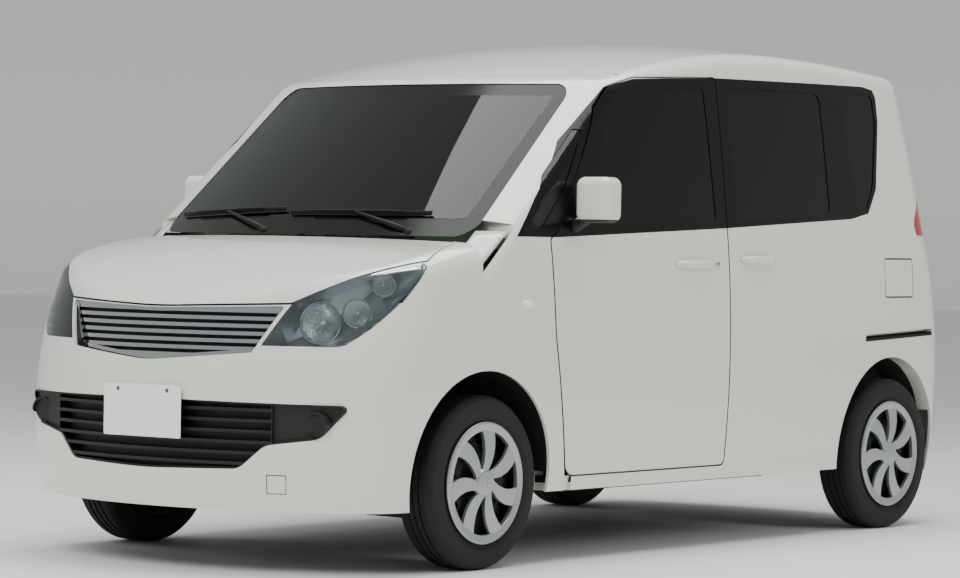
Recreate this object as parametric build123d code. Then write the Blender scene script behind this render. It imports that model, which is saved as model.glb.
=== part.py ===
from build123d import *
import os
from math import asin, atan2, cos, degrees, hypot, pi, radians, sin, sqrt, tan

# A compact minivan, 3.71 m long, in millimetres. The nose points along -Y, the
# car's left side is +X and the road is at z = 0, with the origin under the
# middle of the car.

# Overall sizes
LENGTH = 3710
WIDTH = 1620
HEIGHT = 1765
WHEELBASE = 2450
FRONT_OVERHANG = 760
NOSE_Y = -LENGTH / 2
TAIL_Y = LENGTH / 2
FRONT_AXLE_Y = NOSE_Y + FRONT_OVERHANG
REAR_AXLE_Y = FRONT_AXLE_Y + WHEELBASE

# Wheels
TYRE_R = 278
TYRE_HALF = 77
RIM_R = 178
COVER_R = 196
TRACK_HALF = 705

# Thicknesses and gaps
SKIN = 10
WALL = 55
DOOR_FLANGE = 22
DOOR_GAP = 6
GLASS_INSET = 3
GLASS_T = 5
GLASS_LAP = 10
FIT = 0.3

# Roof, windscreen and bonnet surfaces
ROOF_PEAK_Y = 600
ROOF_FRONT_R = 3930
ROOF_REAR_R = 9100
ROOF_CROWN_R = 5200
SCREEN_PLAN_R = 2300
SCREEN_FOOT = (-1215, 1055)
SCREEN_HEAD = (-560, 1592)
HOOD_FRONT = (-1790, 840)
HOOD_REAR = (-1180, 1062)
HOOD_SIDE_R = 1500
HOOD_CROWN_R = 9000
# Side, nose and tail surfaces, each turned about an upright axis
HALF_WIDTH = WIDTH / 2
SIDE_PLAN_R = 45000
SIDE_PEAK_Y = 100
SIDE_BULGE_Z = 690
SIDE_LOW_R = 3900
SIDE_HIGH_R = 13000
BELT_Z = 1060
NOSE_BULGE = (NOSE_Y, 470)
NOSE_PLAN_R = 1200
NOSE_LOW_R = 1600
NOSE_HIGH_R = 1100
NOSE_TOP_Z = 840
NOSE_CORNER_R = 255
TAIL_BULGE = (TAIL_Y, 500)
TAIL_PLAN_R = 2600
TAIL_LOW_R = 1800
TAIL_HIGH_R = 2250
TAIL_TOP_Z = 1060
TAIL_CORNER_R = 130
FORM_LOW = 150
FORM_HIGH = 1800
SHOULDER_R = 80
PILLAR_R = 60
HEADER_R = 150
ROUND_BASE = (Align.CENTER, Align.CENTER, Align.MIN)


# Body form

def polar(centre, radius, angle):
    return (centre[0] + radius * cos(angle), centre[1] + radius * sin(angle))


def arc_between(centre, radius, start, end):
    return ThreePointArc(polar(centre, radius, start), polar(centre, radius, (start + end) / 2), polar(centre, radius, end))


def side_outside(inset):
    """All that lies outside the car's left side surface."""
    low = (HALF_WIDTH - SIDE_LOW_R, SIDE_BULGE_Z)
    belt = asin((BELT_Z - SIDE_BULGE_Z) / SIDE_LOW_R)
    high = polar(polar(low, SIDE_LOW_R, belt), -SIDE_HIGH_R, belt)
    first = -asin((SIDE_BULGE_Z - FORM_LOW + 50) / SIDE_LOW_R)
    last = belt + (FORM_HIGH - BELT_Z + 100) / SIDE_HIGH_R
    lower = arc_between(low, SIDE_LOW_R - inset, first, belt)
    upper = arc_between(high, SIDE_HIGH_R - inset, belt, last)
    far = HALF_WIDTH + 500
    foot = lower @ 0
    head = upper @ 1
    face = Face(Wire([
        lower, upper, Line(head, (far, head.Y)), Line((far, head.Y), (far, foot.Y)), Line((far, foot.Y), foot)]))
    axis = Axis((HALF_WIDTH - SIDE_PLAN_R, SIDE_PEAK_Y, 0), (0, 0, 1))
    reach = 2.8
    return revolve((across(SIDE_PEAK_Y) * face).rotate(axis, -reach), axis, 2 * reach)


def end_outside(bulge, low_r, high_r, plan_r, top_z, way, inset, sweep):
    """All that lies beyond the nose (way -1) or the tail (way 1)."""
    y, z = bulge
    low = (y - way * low_r, z)
    high = (y - way * high_r, z)
    first = asin((z - FORM_LOW + 50) / low_r)
    last = asin((top_z - z) / high_r)

    def at(centre, radius, angle):
        return (centre[0] + way * radius * cos(angle), centre[1] + radius * sin(angle))

    foot = at(low, low_r - inset, -first)
    bend = at(high, high_r - inset, last)
    rise = FORM_HIGH + 100 - bend[1]
    head = (bend[0] - way * rise * tan(last), bend[1] + rise)
    far = y + way * 700
    face = Face(Wire([
        ThreePointArc(foot, at(low, low_r - inset, -first / 2), at(low, low_r - inset, 0)),
        ThreePointArc(at(high, high_r - inset, 0), at(high, high_r - inset, last / 2), bend),
        Line(bend, head),
        Line(head, (far, head[1])),
        Line((far, head[1]), (far, foot[1])),
        Line((far, foot[1]), foot),
    ]))
    axis = Axis((0, y - way * plan_r, 0), (0, 0, 1))
    return revolve((Plane.YZ * face).rotate(axis, -sweep / 2), axis, sweep)


def span_of(shape):
    b = shape.bounding_box()
    return b.min.X, b.min.Y, b.min.Z, b.max.X, b.max.Y, b.max.Z


def corner_edges(body, way):
    found = []
    for e in body.edges():
        x0, y0, z0, x1, y1, z1 = span_of(e)
        near = way * e.center().Y > 1000 and abs(x0 + x1) > 1100
        if near and z1 - z0 > 60 and x1 - x0 < 200 and y1 - y0 < 330:
            found.append(e)
    return found


def envelope(inset, top=FORM_HIGH):
    """Sides, nose and tail of the body, an inset's distance inside its surface."""
    block = Pos(0, 0, (top + FORM_LOW) / 2) * Box(2 * HALF_WIDTH + 20, LENGTH + 50, top - FORM_LOW)
    left = side_outside(inset)
    nose = end_outside(NOSE_BULGE, NOSE_LOW_R, NOSE_HIGH_R, NOSE_PLAN_R, NOSE_TOP_Z, -1, inset, 120)
    tail = end_outside(TAIL_BULGE, TAIL_LOW_R, TAIL_HIGH_R, TAIL_PLAN_R, TAIL_TOP_Z, 1, inset, 50)
    body = main_solid(block.cut(left, right_of(left), nose, tail))
    body = fillet(corner_edges(body, -1), NOSE_CORNER_R - inset)
    return fillet(corner_edges(body, 1), TAIL_CORNER_R - inset)


def crowned(half, crown_r, top, depth):
    """Section across the car from its crowned top down."""
    drop = crown_r - sqrt(crown_r**2 - half**2)
    outline = Wire([
        ThreePointArc((-half, top - drop), (0, top), (half, top - drop)),
        Line((half, top - drop), (half, top - depth)),
        Line((half, top - depth), (-half, top - depth)),
        Line((-half, top - depth), (-half, top - drop)),
    ])
    return Face(outline)


def across(y):
    """Plane across the car, seen from the front."""
    return Plane((0, y, 0), x_dir=(1, 0, 0), z_dir=(0, -1, 0))


def roof_form(inset):
    section = across(ROOF_PEAK_Y) * crowned(1000, ROOF_CROWN_R - inset, HEIGHT - inset, 1900)
    front = revolve(section, Axis((0, ROOF_PEAK_Y, HEIGHT - ROOF_FRONT_R), (1, 0, 0)), 35)
    rear = revolve(section, Axis((0, ROOF_PEAK_Y, HEIGHT - ROOF_REAR_R), (1, 0, 0)), -15)
    return front + rear


def screen_form(inset):
    """Everything behind the windscreen surface, a leaning cylinder."""
    y0, z0 = SCREEN_FOOT
    y1, z1 = SCREEN_HEAD
    slope = hypot(y1 - y0, z1 - z0)
    up = Vector(0, (y1 - y0) / slope, (z1 - z0) / slope)
    inward = Vector(0, up.Z, -up.Y)
    start = Vector(0, y0, z0) + inward * inset - up * 1500
    half = 1000
    radius = SCREEN_PLAN_R - inset
    sag = radius - sqrt(radius**2 - half**2)
    depth = 5000
    face = Face(Wire([
        ThreePointArc((-half, sag), (0, 0), (half, sag)),
        Line((half, sag), (half, depth)),
        Line((half, depth), (-half, depth)),
        Line((-half, depth), (-half, sag)),
    ]))
    frame = Plane(start, x_dir=(1, 0, 0), z_dir=up)
    return extrude(frame * face, amount=6000)


def hood_form(inset):
    y0, z0 = HOOD_FRONT
    y1, z1 = HOOD_REAR
    half = hypot(y1 - y0, z1 - z0) / 2
    back = sqrt(HOOD_SIDE_R**2 - half**2)
    cy = (y0 + y1) / 2 + (z1 - z0) / (2 * half) * back
    cz = (z0 + z1) / 2 - (y1 - y0) / (2 * half) * back
    section = across(cy) * crowned(1000, HOOD_CROWN_R - inset, cz + HOOD_SIDE_R - inset, 1300)
    top = revolve(section, Axis((0, cy, cz), (1, 0, 0)), 75)
    low = Pos(0, 0, 350) * Box(2400, 4400, 740)
    return top + low


def nose_form(inset, rounding):
    form = (envelope(inset, 1150) & hood_form(inset)).solid()
    rim = []
    for e in form.edges():
        x0, y0, z0, x1, y1, z1 = span_of(e)
        if y0 < -1000 and z0 > 780:
            rim.append(e)
    return fillet(rim, rounding)


def cabin_form(inset, header_r, pillar_r):
    form = (envelope(inset) & (screen_form(inset) & roof_form(inset))).solid()
    header = []
    for e in form.edges():
        x0, y0, z0, x1, y1, z1 = span_of(e)
        if z0 > 1450 and y1 < 0 and abs(x0 + x1) < 2:
            header.append(e)
    form = fillet(header, header_r)
    rim = []
    for e in form.edges():
        x0, y0, z0, x1, y1, z1 = span_of(e)
        roof_rail = z0 > 1450 and abs(x0 + x1) > 1000
        roof_end = z0 > 1450 and abs(x0 + x1) < 2 and y0 > 1300
        pillar = z1 > 1450 and z0 < 1400 and y1 < 0
        if roof_rail or roof_end or pillar:
            rim.append(e)
    return fillet(rim, pillar_r)


# Outlines. Rows are (a, b) or (a, b, corner radius).

def outline(rows):
    radii = [row[2] if len(row) > 2 else 0 for row in rows]
    return make_face(FilletPolyline(*[row[:2] for row in rows], radius=radii, close=True))


def grown(face, distance):
    return offset(face, distance, kind=Kind.INTERSECTION)


def side_prism(face, x0, x1):
    """Side view outline (y, z) pushed from x0 to x1."""
    return extrude(Plane.YZ.offset(x0) * face, amount=x1 - x0)


def front_prism(face, y0, y1):
    """Front view outline (x, z) pushed from y0 back to y1."""
    return extrude(Plane((0, y1, 0), x_dir=(1, 0, 0), z_dir=(0, -1, 0)) * face, amount=y1 - y0)


def plan_prism(face, z0, z1):
    return extrude(Pos(0, 0, z0) * face, amount=z1 - z0)


def box(x0, x1, y0, y1, z0, z1):
    return Pos((x0 + x1) / 2, (y0 + y1) / 2, (z0 + z1) / 2) * Box(x1 - x0, y1 - y0, z1 - z0)


def rod(p, q, radius):
    """Round bar from p to q."""
    axis = Vector(*q) - Vector(*p)
    return Plane(origin=p, z_dir=axis) * Cylinder(radius, axis.length, align=ROUND_BASE)


def right_of(shape):
    """The same piece on the car's right side."""
    return mirror(shape, about=Plane.YZ)


def joined(shapes):
    result = shapes[0]
    for shape in shapes[1:]:
        result = result + shape
    return result


def main_solid(shape):
    return max(shape.solids(), key=lambda s: s.volume)


# Shell layers

CABIN = cabin_form(0, HEADER_R, PILLAR_R)
LINING = cabin_form(WALL, 100, 20)
NOSE = nose_form(0, SHOULDER_R)
NOSE_IN = nose_form(SKIN, SHOULDER_R)
SIDE_SKIN = envelope(SKIN)
SIDE_REBATE = envelope(SKIN + DOOR_GAP)
SIDE_SEAT = envelope(SKIN + FIT)
SIDE_WALL = envelope(WALL)
PANE_OUT = envelope(GLASS_INSET)
PANE_IN = envelope(GLASS_INSET + GLASS_T)
SLOT_OUT = envelope(GLASS_INSET - FIT)
SLOT_IN = envelope(GLASS_INSET + GLASS_T + FIT)
CORNER_PANE_OUT = cabin_form(GLASS_INSET, HEADER_R, PILLAR_R)
CORNER_PANE_IN = cabin_form(GLASS_INSET + GLASS_T, HEADER_R, PILLAR_R)
CORNER_SLOT_OUT = cabin_form(GLASS_INSET - FIT, HEADER_R, PILLAR_R)
CORNER_SLOT_IN = cabin_form(GLASS_INSET + GLASS_T + FIT, HEADER_R, PILLAR_R)
SHELL = CABIN - LINING

# Main body lines
SILL_Z = 235
FLOOR_Z = 250
FLOOR_T = 25
ARCH_R = 345
LINER_R = 352
LINER_T = 6
FRONT_ARCH = (-1108, 290)
REAR_ARCH = (1335, 292)
WELL_X = 470
REAR_WELL_X = 600
ROOF_HALF = 590
HATCH_Y = 1560
BUMPER_TOP = 600
FAR = 2400

# Side view outlines (y, z, corner radius)
FRONT_DOOR = [
    (-773, 1054, 8), (-757, 743, 60), (-672, 285, 45), (236, 285, 20), (236, 1622, 15),
    (-248, 1602, 60), (-440, 1556, 25), (-618, 1261, 200), (-734, 1079, 10),
]
FRONT_DOOR_GLASS = [
    (-568, 1103, 25), (-385, 1545, 20), (-120, 1573, 60), (160, 1582, 20), (175, 1124, 20),
]
SLIDE_DOOR = [
    (242, 285, 20), (936, 287, 30), (973, 331, 30), (1018, 434, 60), (1130, 654, 80), (1128, 842, 80),
    (1100, 1138, 60), (1000, 1660, 30), (944, 1696, 40), (242, 1674, 10),
]
SLIDE_DOOR_GLASS = [(299, 1131, 25), (299, 1592, 25), (915, 1596, 35), (925, 1157, 35)]
QUARTER_GLASS_FRONT = [
    (-900, 1092, 12), (-770, 1262, 100), (-585, 1420, 4), (-560, 1420, 4), (-688, 1219, 100), (-815, 1095, 12),
]
QUARTER_GLASS_REAR = [
    (1120, 1175, 25), (1060, 1600, 20), (1290, 1606, 25), (1298, 1500, 60), (1240, 1262, 90), (1185, 1180, 30),
]
FENDER = [
    (-679, 150), (-679, 285), (-763, 743, 60), (-779, 1054), (-779, 1056), (-960, 1057), (-950, 1101), (-1080, 1142), (-1400, 1142),
    (-1400, 991), (-1376, 967), (-1517, 806), (-1270, 598), (-1440, 150),
]
LAMP_SIDE = [
    (-1398, 995, 6), (-1376, 967, 12), (-1500, 840, 100), (-1640, 712, 40), (-2000, 712), (-2000, 995),
]
FUEL_FLAP = [(1289, 857, 14), (1289, 1005, 14), (1501, 1005, 14), (1501, 857, 14)]
TAIL_LAMP = [(1570, 1222, 30), (1520, 1127, 60), (1600, 1020, 40), (1900, 960), (1900, 1222)]
REAR_BUMPER = [(1660, 150), (1650, 430), (1700, BUMPER_TOP), (1900, BUMPER_TOP), (1900, 150)]
SLIDE_RAIL = [(1148, 706, 4), (1148, 723, 4), (1640, 741, 4), (1640, 724, 4)]

# Front and rear view outlines (x, z, corner radius)
SCREEN = [(-655, 1075, 40), (-610, 1560, 50), (610, 1560, 50), (655, 1075, 40)]
GRILLE = [(-455, 836, 8), (-380, 690, 8), (0, 657, 700), (380, 690, 8), (455, 836, 8), (0, 822, 2500)]
LAMP_FRONT = [(396, 694, 8), (474, 848, 10), (620, 925, 300), (776, 995, 10), (900, 1010), (900, 700), (690, 716, 20), (560, 702, 200)]
INTAKE = [
    (-684, 533, 14), (-600, 428, 60), (-440, 405, 60), (-355, 330, 60), (0, 320, 2000),
    (355, 330, 60), (440, 405, 60), (600, 428, 60), (684, 533, 14), (0, 541, 4000),
]
HOOD_LOW = [
    (-900, 1200), (-900, 1013), (-776, 998), (-620, 929, 300), (-468, 846, 20), (0, 830, 2500),
    (468, 846, 20), (620, 929, 300), (776, 998), (900, 1013), (900, 1200),
]
TAILGATE = [
    (-560, 606, 40), (-640, 760, 60), (-640, 1230, 300), (-585, 1640, 80), (-575, 1800), (575, 1800),
    (585, 1640, 80), (640, 1230, 300), (640, 760, 60), (560, 606, 40),
]
TAILGATE_GLASS = [(-560, 1110, 50), (-520, 1600, 60), (520, 1600, 60), (560, 1110, 50)]

# Plan outline (x, y, corner radius)
HOOD_PLAN = [
    (-688, -1142, 30), (-752, -1400, 200), (-752, -2100), (752, -2100), (752, -1400, 200), (688, -1142, 30),
    (0, -1330, 2350),
]


def both_sides(shape):
    return [shape, right_of(shape)]


# Doors and side glass

def door_panel(rows):
    face = outline(rows)
    full = (CABIN & side_prism(face, 400, 1000)) - SIDE_WALL
    rim = side_prism(face, 400, 1000) - side_prism(grown(face, -DOOR_FLANGE), 300, 1100)
    return full - (rim & SIDE_SKIN)


def door_opening(rows, gap):
    """The stepped opening that a door closes, with its gap all round."""
    face = outline(rows)
    recess = side_prism(grown(face, gap), 400, 1000) - (SIDE_REBATE if gap > 1 else SIDE_SEAT)
    return recess + side_prism(grown(face, gap - DOOR_FLANGE), 400, 1000)


def side_window(rows):
    return side_prism(outline(rows), 400, 1000)


def side_pane(rows, outer=PANE_OUT, inner=PANE_IN):
    blank = side_prism(grown(outline(rows), GLASS_LAP), 400, 1000)
    return (outer & blank) - inner


def pane_slot(rows, outer=SLOT_OUT, inner=SLOT_IN):
    blank = side_prism(grown(outline(rows), GLASS_LAP + FIT), 400, 1000)
    return (outer & blank) - inner


# Front door hinges. Their pins lie ahead of the door's edge, just under the fender.
FOOT_Y = -1130
HINGE_X = 780
HINGE_Y = -800
HINGE_HEIGHTS = (640, 900)
HINGE_PIN_R = 4.5
HINGE_BOSS_R = 9
HINGE_LEAF = 28
HINGE_LUG = 10
NECK_DEPTH = 62
NECK_T = 12
POST_IN = 650
POST_OUT = 704


def hinge_neck(z):
    """The door's half of a hinge: a goose neck round the fender's edge, with an eye for the pin."""
    deep = HINGE_X - NECK_DEPTH
    half = NECK_T / 2
    neck = outline([
        (HINGE_X, HINGE_Y - half), (deep - half, HINGE_Y - half, 14), (deep - half, HINGE_Y + 96, 14),
        (HINGE_X - 12, HINGE_Y + 96), (HINGE_X - 12, HINGE_Y + 84), (deep + half, HINGE_Y + 84, 4),
        (deep + half, HINGE_Y + half, 4), (HINGE_X, HINGE_Y + half),
    ])
    eye = Pos(HINGE_X, HINGE_Y, z) * Cylinder(HINGE_BOSS_R, HINGE_LEAF)
    strap = plan_prism(neck, z - HINGE_LEAF / 2, z + HINGE_LEAF / 2)
    return (eye + strap) - Pos(HINGE_X, HINGE_Y, z) * Cylinder(HINGE_PIN_R + FIT, HINGE_LEAF + 2)


def hinge_lugs(z):
    """The post's half of a hinge: two lugs and the pin between them."""
    reach = HINGE_LEAF / 2 + FIT
    parts = [Pos(HINGE_X, HINGE_Y, z) * Cylinder(HINGE_PIN_R, 2 * reach + 2 * HINGE_LUG)]
    for side in (1, -1):
        middle = z + side * (reach + HINGE_LUG / 2)
        parts.append(Pos(HINGE_X, HINGE_Y, middle) * Cylinder(HINGE_BOSS_R, HINGE_LUG))
        parts.append(box(
            POST_OUT - 6, HINGE_X, HINGE_Y - 8, HINGE_Y + 8, middle - HINGE_LUG / 2, middle + HINGE_LUG / 2))
    return joined(parts)


def hinge_relief(z):
    """Room under the fender's skin for a hinge."""
    tall = HINGE_LEAF / 2 + HINGE_LUG + 4
    return box(700, 1000, HINGE_Y - 14, HINGE_Y + 14, z - tall, z + tall)


def hinge_post():
    """Pillar ahead of the front door that carries its hinges."""
    post = box(POST_IN, POST_OUT, -850, -690, SILL_Z, 1060)
    foot = box(POST_IN, 790, -735, -636, SILL_Z, 282) & SIDE_SEAT
    head = box(POST_IN, 790, -850, -772, 1034, 1060) & envelope(14)
    wheel = arch_cut(FRONT_ARCH, LINER_R + LINER_T + 12, 400, 1000)
    opening = side_prism(grown(outline(FRONT_DOOR), DOOR_GAP - DOOR_FLANGE), 400, 1000)
    return main_solid((post + foot + head).cut(wheel, opening))


# Fuel flap hinge, its pin just ahead of the flap under the skin
FLAP_HINGE_X = 774
FLAP_HINGE_Y = 1270
FLAP_HINGE_Z = 931
FLAP_SKIN = 4
FLAP_NECK = 27
FLAP_LEG = 28
FLAP_PIN_R = 2.5


def flap_hinge():
    """The fuel flap's goose neck and the two lugs with the pin it turns on."""
    x, y, z = FLAP_HINGE_X, FLAP_HINGE_Y, FLAP_HINGE_Z
    deep = x - FLAP_NECK
    neck = outline([
        (x, y - 2), (deep - 2, y - 2, 3), (deep - 2, y + FLAP_LEG + 2, 3), (x + 11, y + FLAP_LEG + 2),
        (x + 11, y + FLAP_LEG - 2), (deep + 2, y + FLAP_LEG - 2), (deep + 2, y + 2), (x, y + 2),
    ])
    leaf = plan_prism(neck, z - 12, z + 12) + Pos(x, y, z) * Cylinder(4, 24)
    leaf = leaf - Pos(x, y, z) * Cylinder(FLAP_PIN_R + FIT, 26)
    lugs = [Pos(x, y, z) * Cylinder(FLAP_PIN_R, 24 + 2 * FIT + 12)]
    for side in (1, -1):
        middle = z + side * (12 + FIT + 3)
        lugs.append(Pos(x, y, middle) * Cylinder(4, 6))
        lugs.append(box(x - 4, x + 4, y - 16, y, middle - 3, middle + 3))
    return leaf, joined(lugs)


# Tailgate hinges, in pockets under the roof's rear edge
GATE_HINGE_X = 250
GATE_HINGE_Y = 1530
GATE_HINGE_Z = 1698
GATE_GAP = 10
GATE_PIN_R = 4
GATE_NECK = 35


def gate_arm():
    y, z = GATE_HINGE_Y, GATE_HINGE_Z
    low = z - GATE_NECK
    arm = outline([
        (y - 5, z), (y - 5, low - 5, 6), (y + 42, low - 5), (y + 42, low + 5), (y + 5, low + 5, 3), (y + 5, z),
    ])
    half = 18
    leaf = side_prism(arm, GATE_HINGE_X - half, GATE_HINGE_X + half)
    leaf += rod((GATE_HINGE_X - half, y, z), (GATE_HINGE_X + half, y, z), 7.5)
    return leaf - rod((GATE_HINGE_X - 30, y, z), (GATE_HINGE_X + 30, y, z), GATE_PIN_R + FIT)


def gate_pocket():
    x, y = GATE_HINGE_X, GATE_HINGE_Y
    return box(x - 24, x + 24, y - 16, y + 40, 1600, 1800) & roof_form(3.5)


# Bonnet hinges, inboard of the fenders' rear ends
HOOD_HINGE_X = 640
HOOD_HINGE_Y = -1112
HOOD_HINGE_Z = 1028
HOOD_PIN_R = 4


def hood_arm():
    x, y, z = HOOD_HINGE_X, HOOD_HINGE_Y, HOOD_HINGE_Z
    arm = outline([(y, z - 8), (y - 110, z - 18), (y - 110, z + 14), (y - 66, z + 14), (y - 50, z + 4), (y, z + 8)])
    leaf = side_prism(arm, x - 7, x + 7) & (NOSE - nose_form(2, SHOULDER_R - 2) + NOSE_IN)
    leaf = main_solid(leaf) + rod((x - 7, y, z), (x + 7, y, z), 9)
    return leaf - rod((x - 9, y, z), (x + 9, y, z), HOOD_PIN_R + FIT)


def hood_bracket():
    """Two cheeks and the pin that a bonnet arm turns on, standing on the shelf below."""
    x, y, z = HOOD_HINGE_X, HOOD_HINGE_Y, HOOD_HINGE_Z
    parts = [rod((x - 18, y, z), (x + 18, y, z), HOOD_PIN_R)]
    for x0 in (x - 18, x + 8):
        parts.append(box(x0, x0 + 10, y - 12, y + 12, 930, z + 8))
    parts.append(box(x - 40, x + 18, y - 12, y + 12, 770, 935))
    return joined(parts)


# Wheel arches and wells, left side

def arch_cut(centre, radius, x0, x1):
    y, z = centre
    return Pos((x0 + x1) / 2, y, z) * Rot(0, 90, 0) * Cylinder(radius, x1 - x0)


def make_floorpan():
    pan = box(-WELL_X - 190, WELL_X + 190, -760, 1770, FLOOR_Z - FLOOR_T, FLOOR_Z)
    tunnel = box(-90, 90, -760, 560, FLOOR_Z - FLOOR_T, FLOOR_Z + 40)
    rear_step = box(-730, 730, 560, 584, FLOOR_Z - FLOOR_T, 480)
    rear_floor = box(-730, 730, 560, 1795, 480 - FLOOR_T, 480)
    shape = (pan + tunnel + rear_step) - box(-1000, 1000, 584, 2000, 0, 480 - FLOOR_T)
    shape += rear_floor
    for x in (WELL_X + 180, -WELL_X - 180):
        shape += box(x - 70, x + 70, -760, 584, FLOOR_Z - FLOOR_T, FLOOR_Z)
    shape -= box(-91 + FLOOR_T, 91 - FLOOR_T, -800, 559, 0, FLOOR_Z + 15)
    back = (envelope(SKIN + FIT) & box(-600, 600, 1600, 1900, 200, BUMPER_TOP - 3)) - LINING
    shape = (shape & LINING) + back
    for x0, x1 in ((POST_IN - 6, 1000), (-1000, 6 - POST_IN)):
        shape -= box(x0, x1, -900, -634, 0, 400)
    for side in (1, -1):
        x0, x1 = REAR_WELL_X, 900
        well = arch_cut(REAR_ARCH, LINER_R + LINER_T, x0 - LINER_T, x1) - box(-1000, 1000, 0, 2000, -200, 455)
        inner = arch_cut(REAR_ARCH, LINER_R, x0, x1)
        if side < 0:
            well = right_of(well)
            inner = right_of(inner)
        shape = shape + (well & LINING)
        shape = shape - inner
    return main_solid(shape)


def make_bodyside():
    """Left side of the shell: pillars, cant rail, sill and rear quarter."""
    zone = box(ROOF_HALF, 1000, -1300, 1900, SILL_Z, 1800)
    side = main_solid((SHELL & zone).cut(
        side_prism(outline(FENDER), 400, 1000),
        front_prism(outline(SCREEN), -1300, -450),
        box(0, 1000, -1300, -640, 0, 1056),
        front_prism(grown(outline(TAILGATE), DOOR_GAP), HATCH_Y - DOOR_GAP, 1900),
        side_prism(outline(REAR_BUMPER), 400, 1000),
        door_opening(FRONT_DOOR, DOOR_GAP),
        door_opening(SLIDE_DOOR, FIT),
        side_window(QUARTER_GLASS_FRONT),
        side_window(QUARTER_GLASS_REAR),
        arch_cut(REAR_ARCH, ARCH_R, 400, 1000),
    ))
    niche = [(y + out, z + up) for y, z, out, up in (
        (1289, 857, -32, -6), (1289, 1005, -32, 6), (1501, 1005, 12, 6), (1501, 857, 12, -6))]
    side = side.cut(
        pane_slot(QUARTER_GLASS_FRONT, CORNER_SLOT_OUT, CORNER_SLOT_IN),
        pane_slot(QUARTER_GLASS_REAR),
        windshield_slot(),
        side_prism(outline(FUEL_FLAP), 400, 1000) - envelope(20),
        (side_prism(outline(niche), 400, 1000) & envelope(5)) - envelope(FLAP_NICHE),
        side_prism(outline(SLIDE_RAIL), 400, 1000) - envelope(RAIL_DEPTH),
        tail_lamp_zone(),
    )
    leaf, lugs = flap_hinge()
    return side.fuse(hinge_post(), lugs, *[hinge_lugs(z) for z in HINGE_HEIGHTS])


def tail_lamp_zone():
    block = side_prism(outline(TAIL_LAMP), 646, 1000)
    return block - envelope(TAIL_LAMP_DEPTH)


FLAP_NICHE = 47
RAIL_DEPTH = 24
TAIL_LAMP_DEPTH = 42


def make_roof():
    zone = box(-ROOF_HALF, ROOF_HALF, -720, HATCH_Y - GATE_GAP, 1300, 1800)
    pockets = both_sides(gate_pocket())
    roof = main_solid((SHELL & zone).cut(front_prism(outline(SCREEN), -1300, -450), windshield_slot(), *pockets))
    x, y, z = GATE_HINGE_X, GATE_HINGE_Y, GATE_HINGE_Z
    return roof.fuse(*both_sides(rod((x - 28, y, z), (x + 28, y, z), GATE_PIN_R)))


def windshield_blank(outer, inner, lap):
    face = grown(outline(SCREEN), lap)
    pane = screen_form(outer) - screen_form(inner)
    return pane & front_prism(face, -1400, -300) & box(-900, 900, -1400, -300, 900, 1700)


def make_windshield():
    return main_solid(windshield_blank(GLASS_INSET, GLASS_INSET + GLASS_T, GLASS_LAP + 6))


def windshield_slot():
    """Rebate that the windscreen is bonded into, open to the outside."""
    face = grown(outline(SCREEN), GLASS_LAP + 6 + FIT)
    rebate = front_prism(face, -1400, -300) & box(-900, 900, -1400, -300, 900, 1700)
    return rebate - screen_form(GLASS_INSET + GLASS_T + FIT)


def make_hood():
    zone = plan_prism(outline(HOOD_PLAN), 700, 1200) & front_prism(outline(HOOD_LOW), -1900, -1000)
    skin = main_solid((NOSE & zone) - NOSE_IN)
    return skin.fuse(*both_sides(hood_arm()))


def nose_openings():
    """Everything cut out of the nose skin for the bonnet, lamps and grilles."""
    hood = plan_prism(grown(outline(HOOD_PLAN), DOOR_GAP), 700, 1300)
    hood &= front_prism(grown(outline(HOOD_LOW), DOOR_GAP), -1900, -1000)
    return hood


def lamp_zone(gap=0):
    face_side = grown(outline(LAMP_SIDE), gap) if gap else outline(LAMP_SIDE)
    face_front = grown(outline(LAMP_FRONT), gap) if gap else outline(LAMP_FRONT)
    return side_prism(face_side, 300, 1000) & front_prism(face_front, -1900, -1300)


NOSE_SKIN = (NOSE - NOSE_IN) & box(-1000, 1000, -1900, FOOT_Y, 200, 1142)
HOOD_OPENING = nose_openings()
LAMP_L = lamp_zone()
GRILLE_HOLE = front_prism(outline(GRILLE), -1900, -1500)
INTAKE_HOLE = front_prism(outline(INTAKE), -1900, -1400)


# Skin of the pillar's foot under the windscreen
FOOT_SKIN = 6


def make_fender():
    """Left fender: the wing over the wheel and the foot of the pillar behind it."""
    zone = side_prism(outline(FENDER), 400, 1000) - arch_cut(FRONT_ARCH, ARCH_R, 300, 1100)
    wing = (NOSE_SKIN & zone).cut(HOOD_OPENING, LAMP_L)
    foot = (CABIN & zone & box(400, 1000, FOOT_Y, -600, SILL_Z, 1200)) - (SIDE_SKIN & screen_form(FOOT_SKIN))
    scuttle = box(-1000, COWL_HALF, -1160, -700, 900, 1300)
    reliefs = [hinge_relief(z) & envelope(4) for z in HINGE_HEIGHTS]
    foot = foot.cut(scuttle, windshield_slot())
    return main_solid(main_solid(wing - scuttle) + main_solid(foot)).cut(*reliefs)


def make_front_bumper():
    bumper = NOSE_SKIN & box(-1000, 1000, -1900, -1260, 200, 850)
    return main_solid(bumper.cut(
        side_prism(outline(FENDER), -1000, 1000),
        HOOD_OPENING,
        LAMP_L,
        right_of(LAMP_L),
        GRILLE_HOLE,
        INTAKE_HOLE,
        arch_cut(FRONT_ARCH, ARCH_R, -1000, 1000),
    ))


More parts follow.
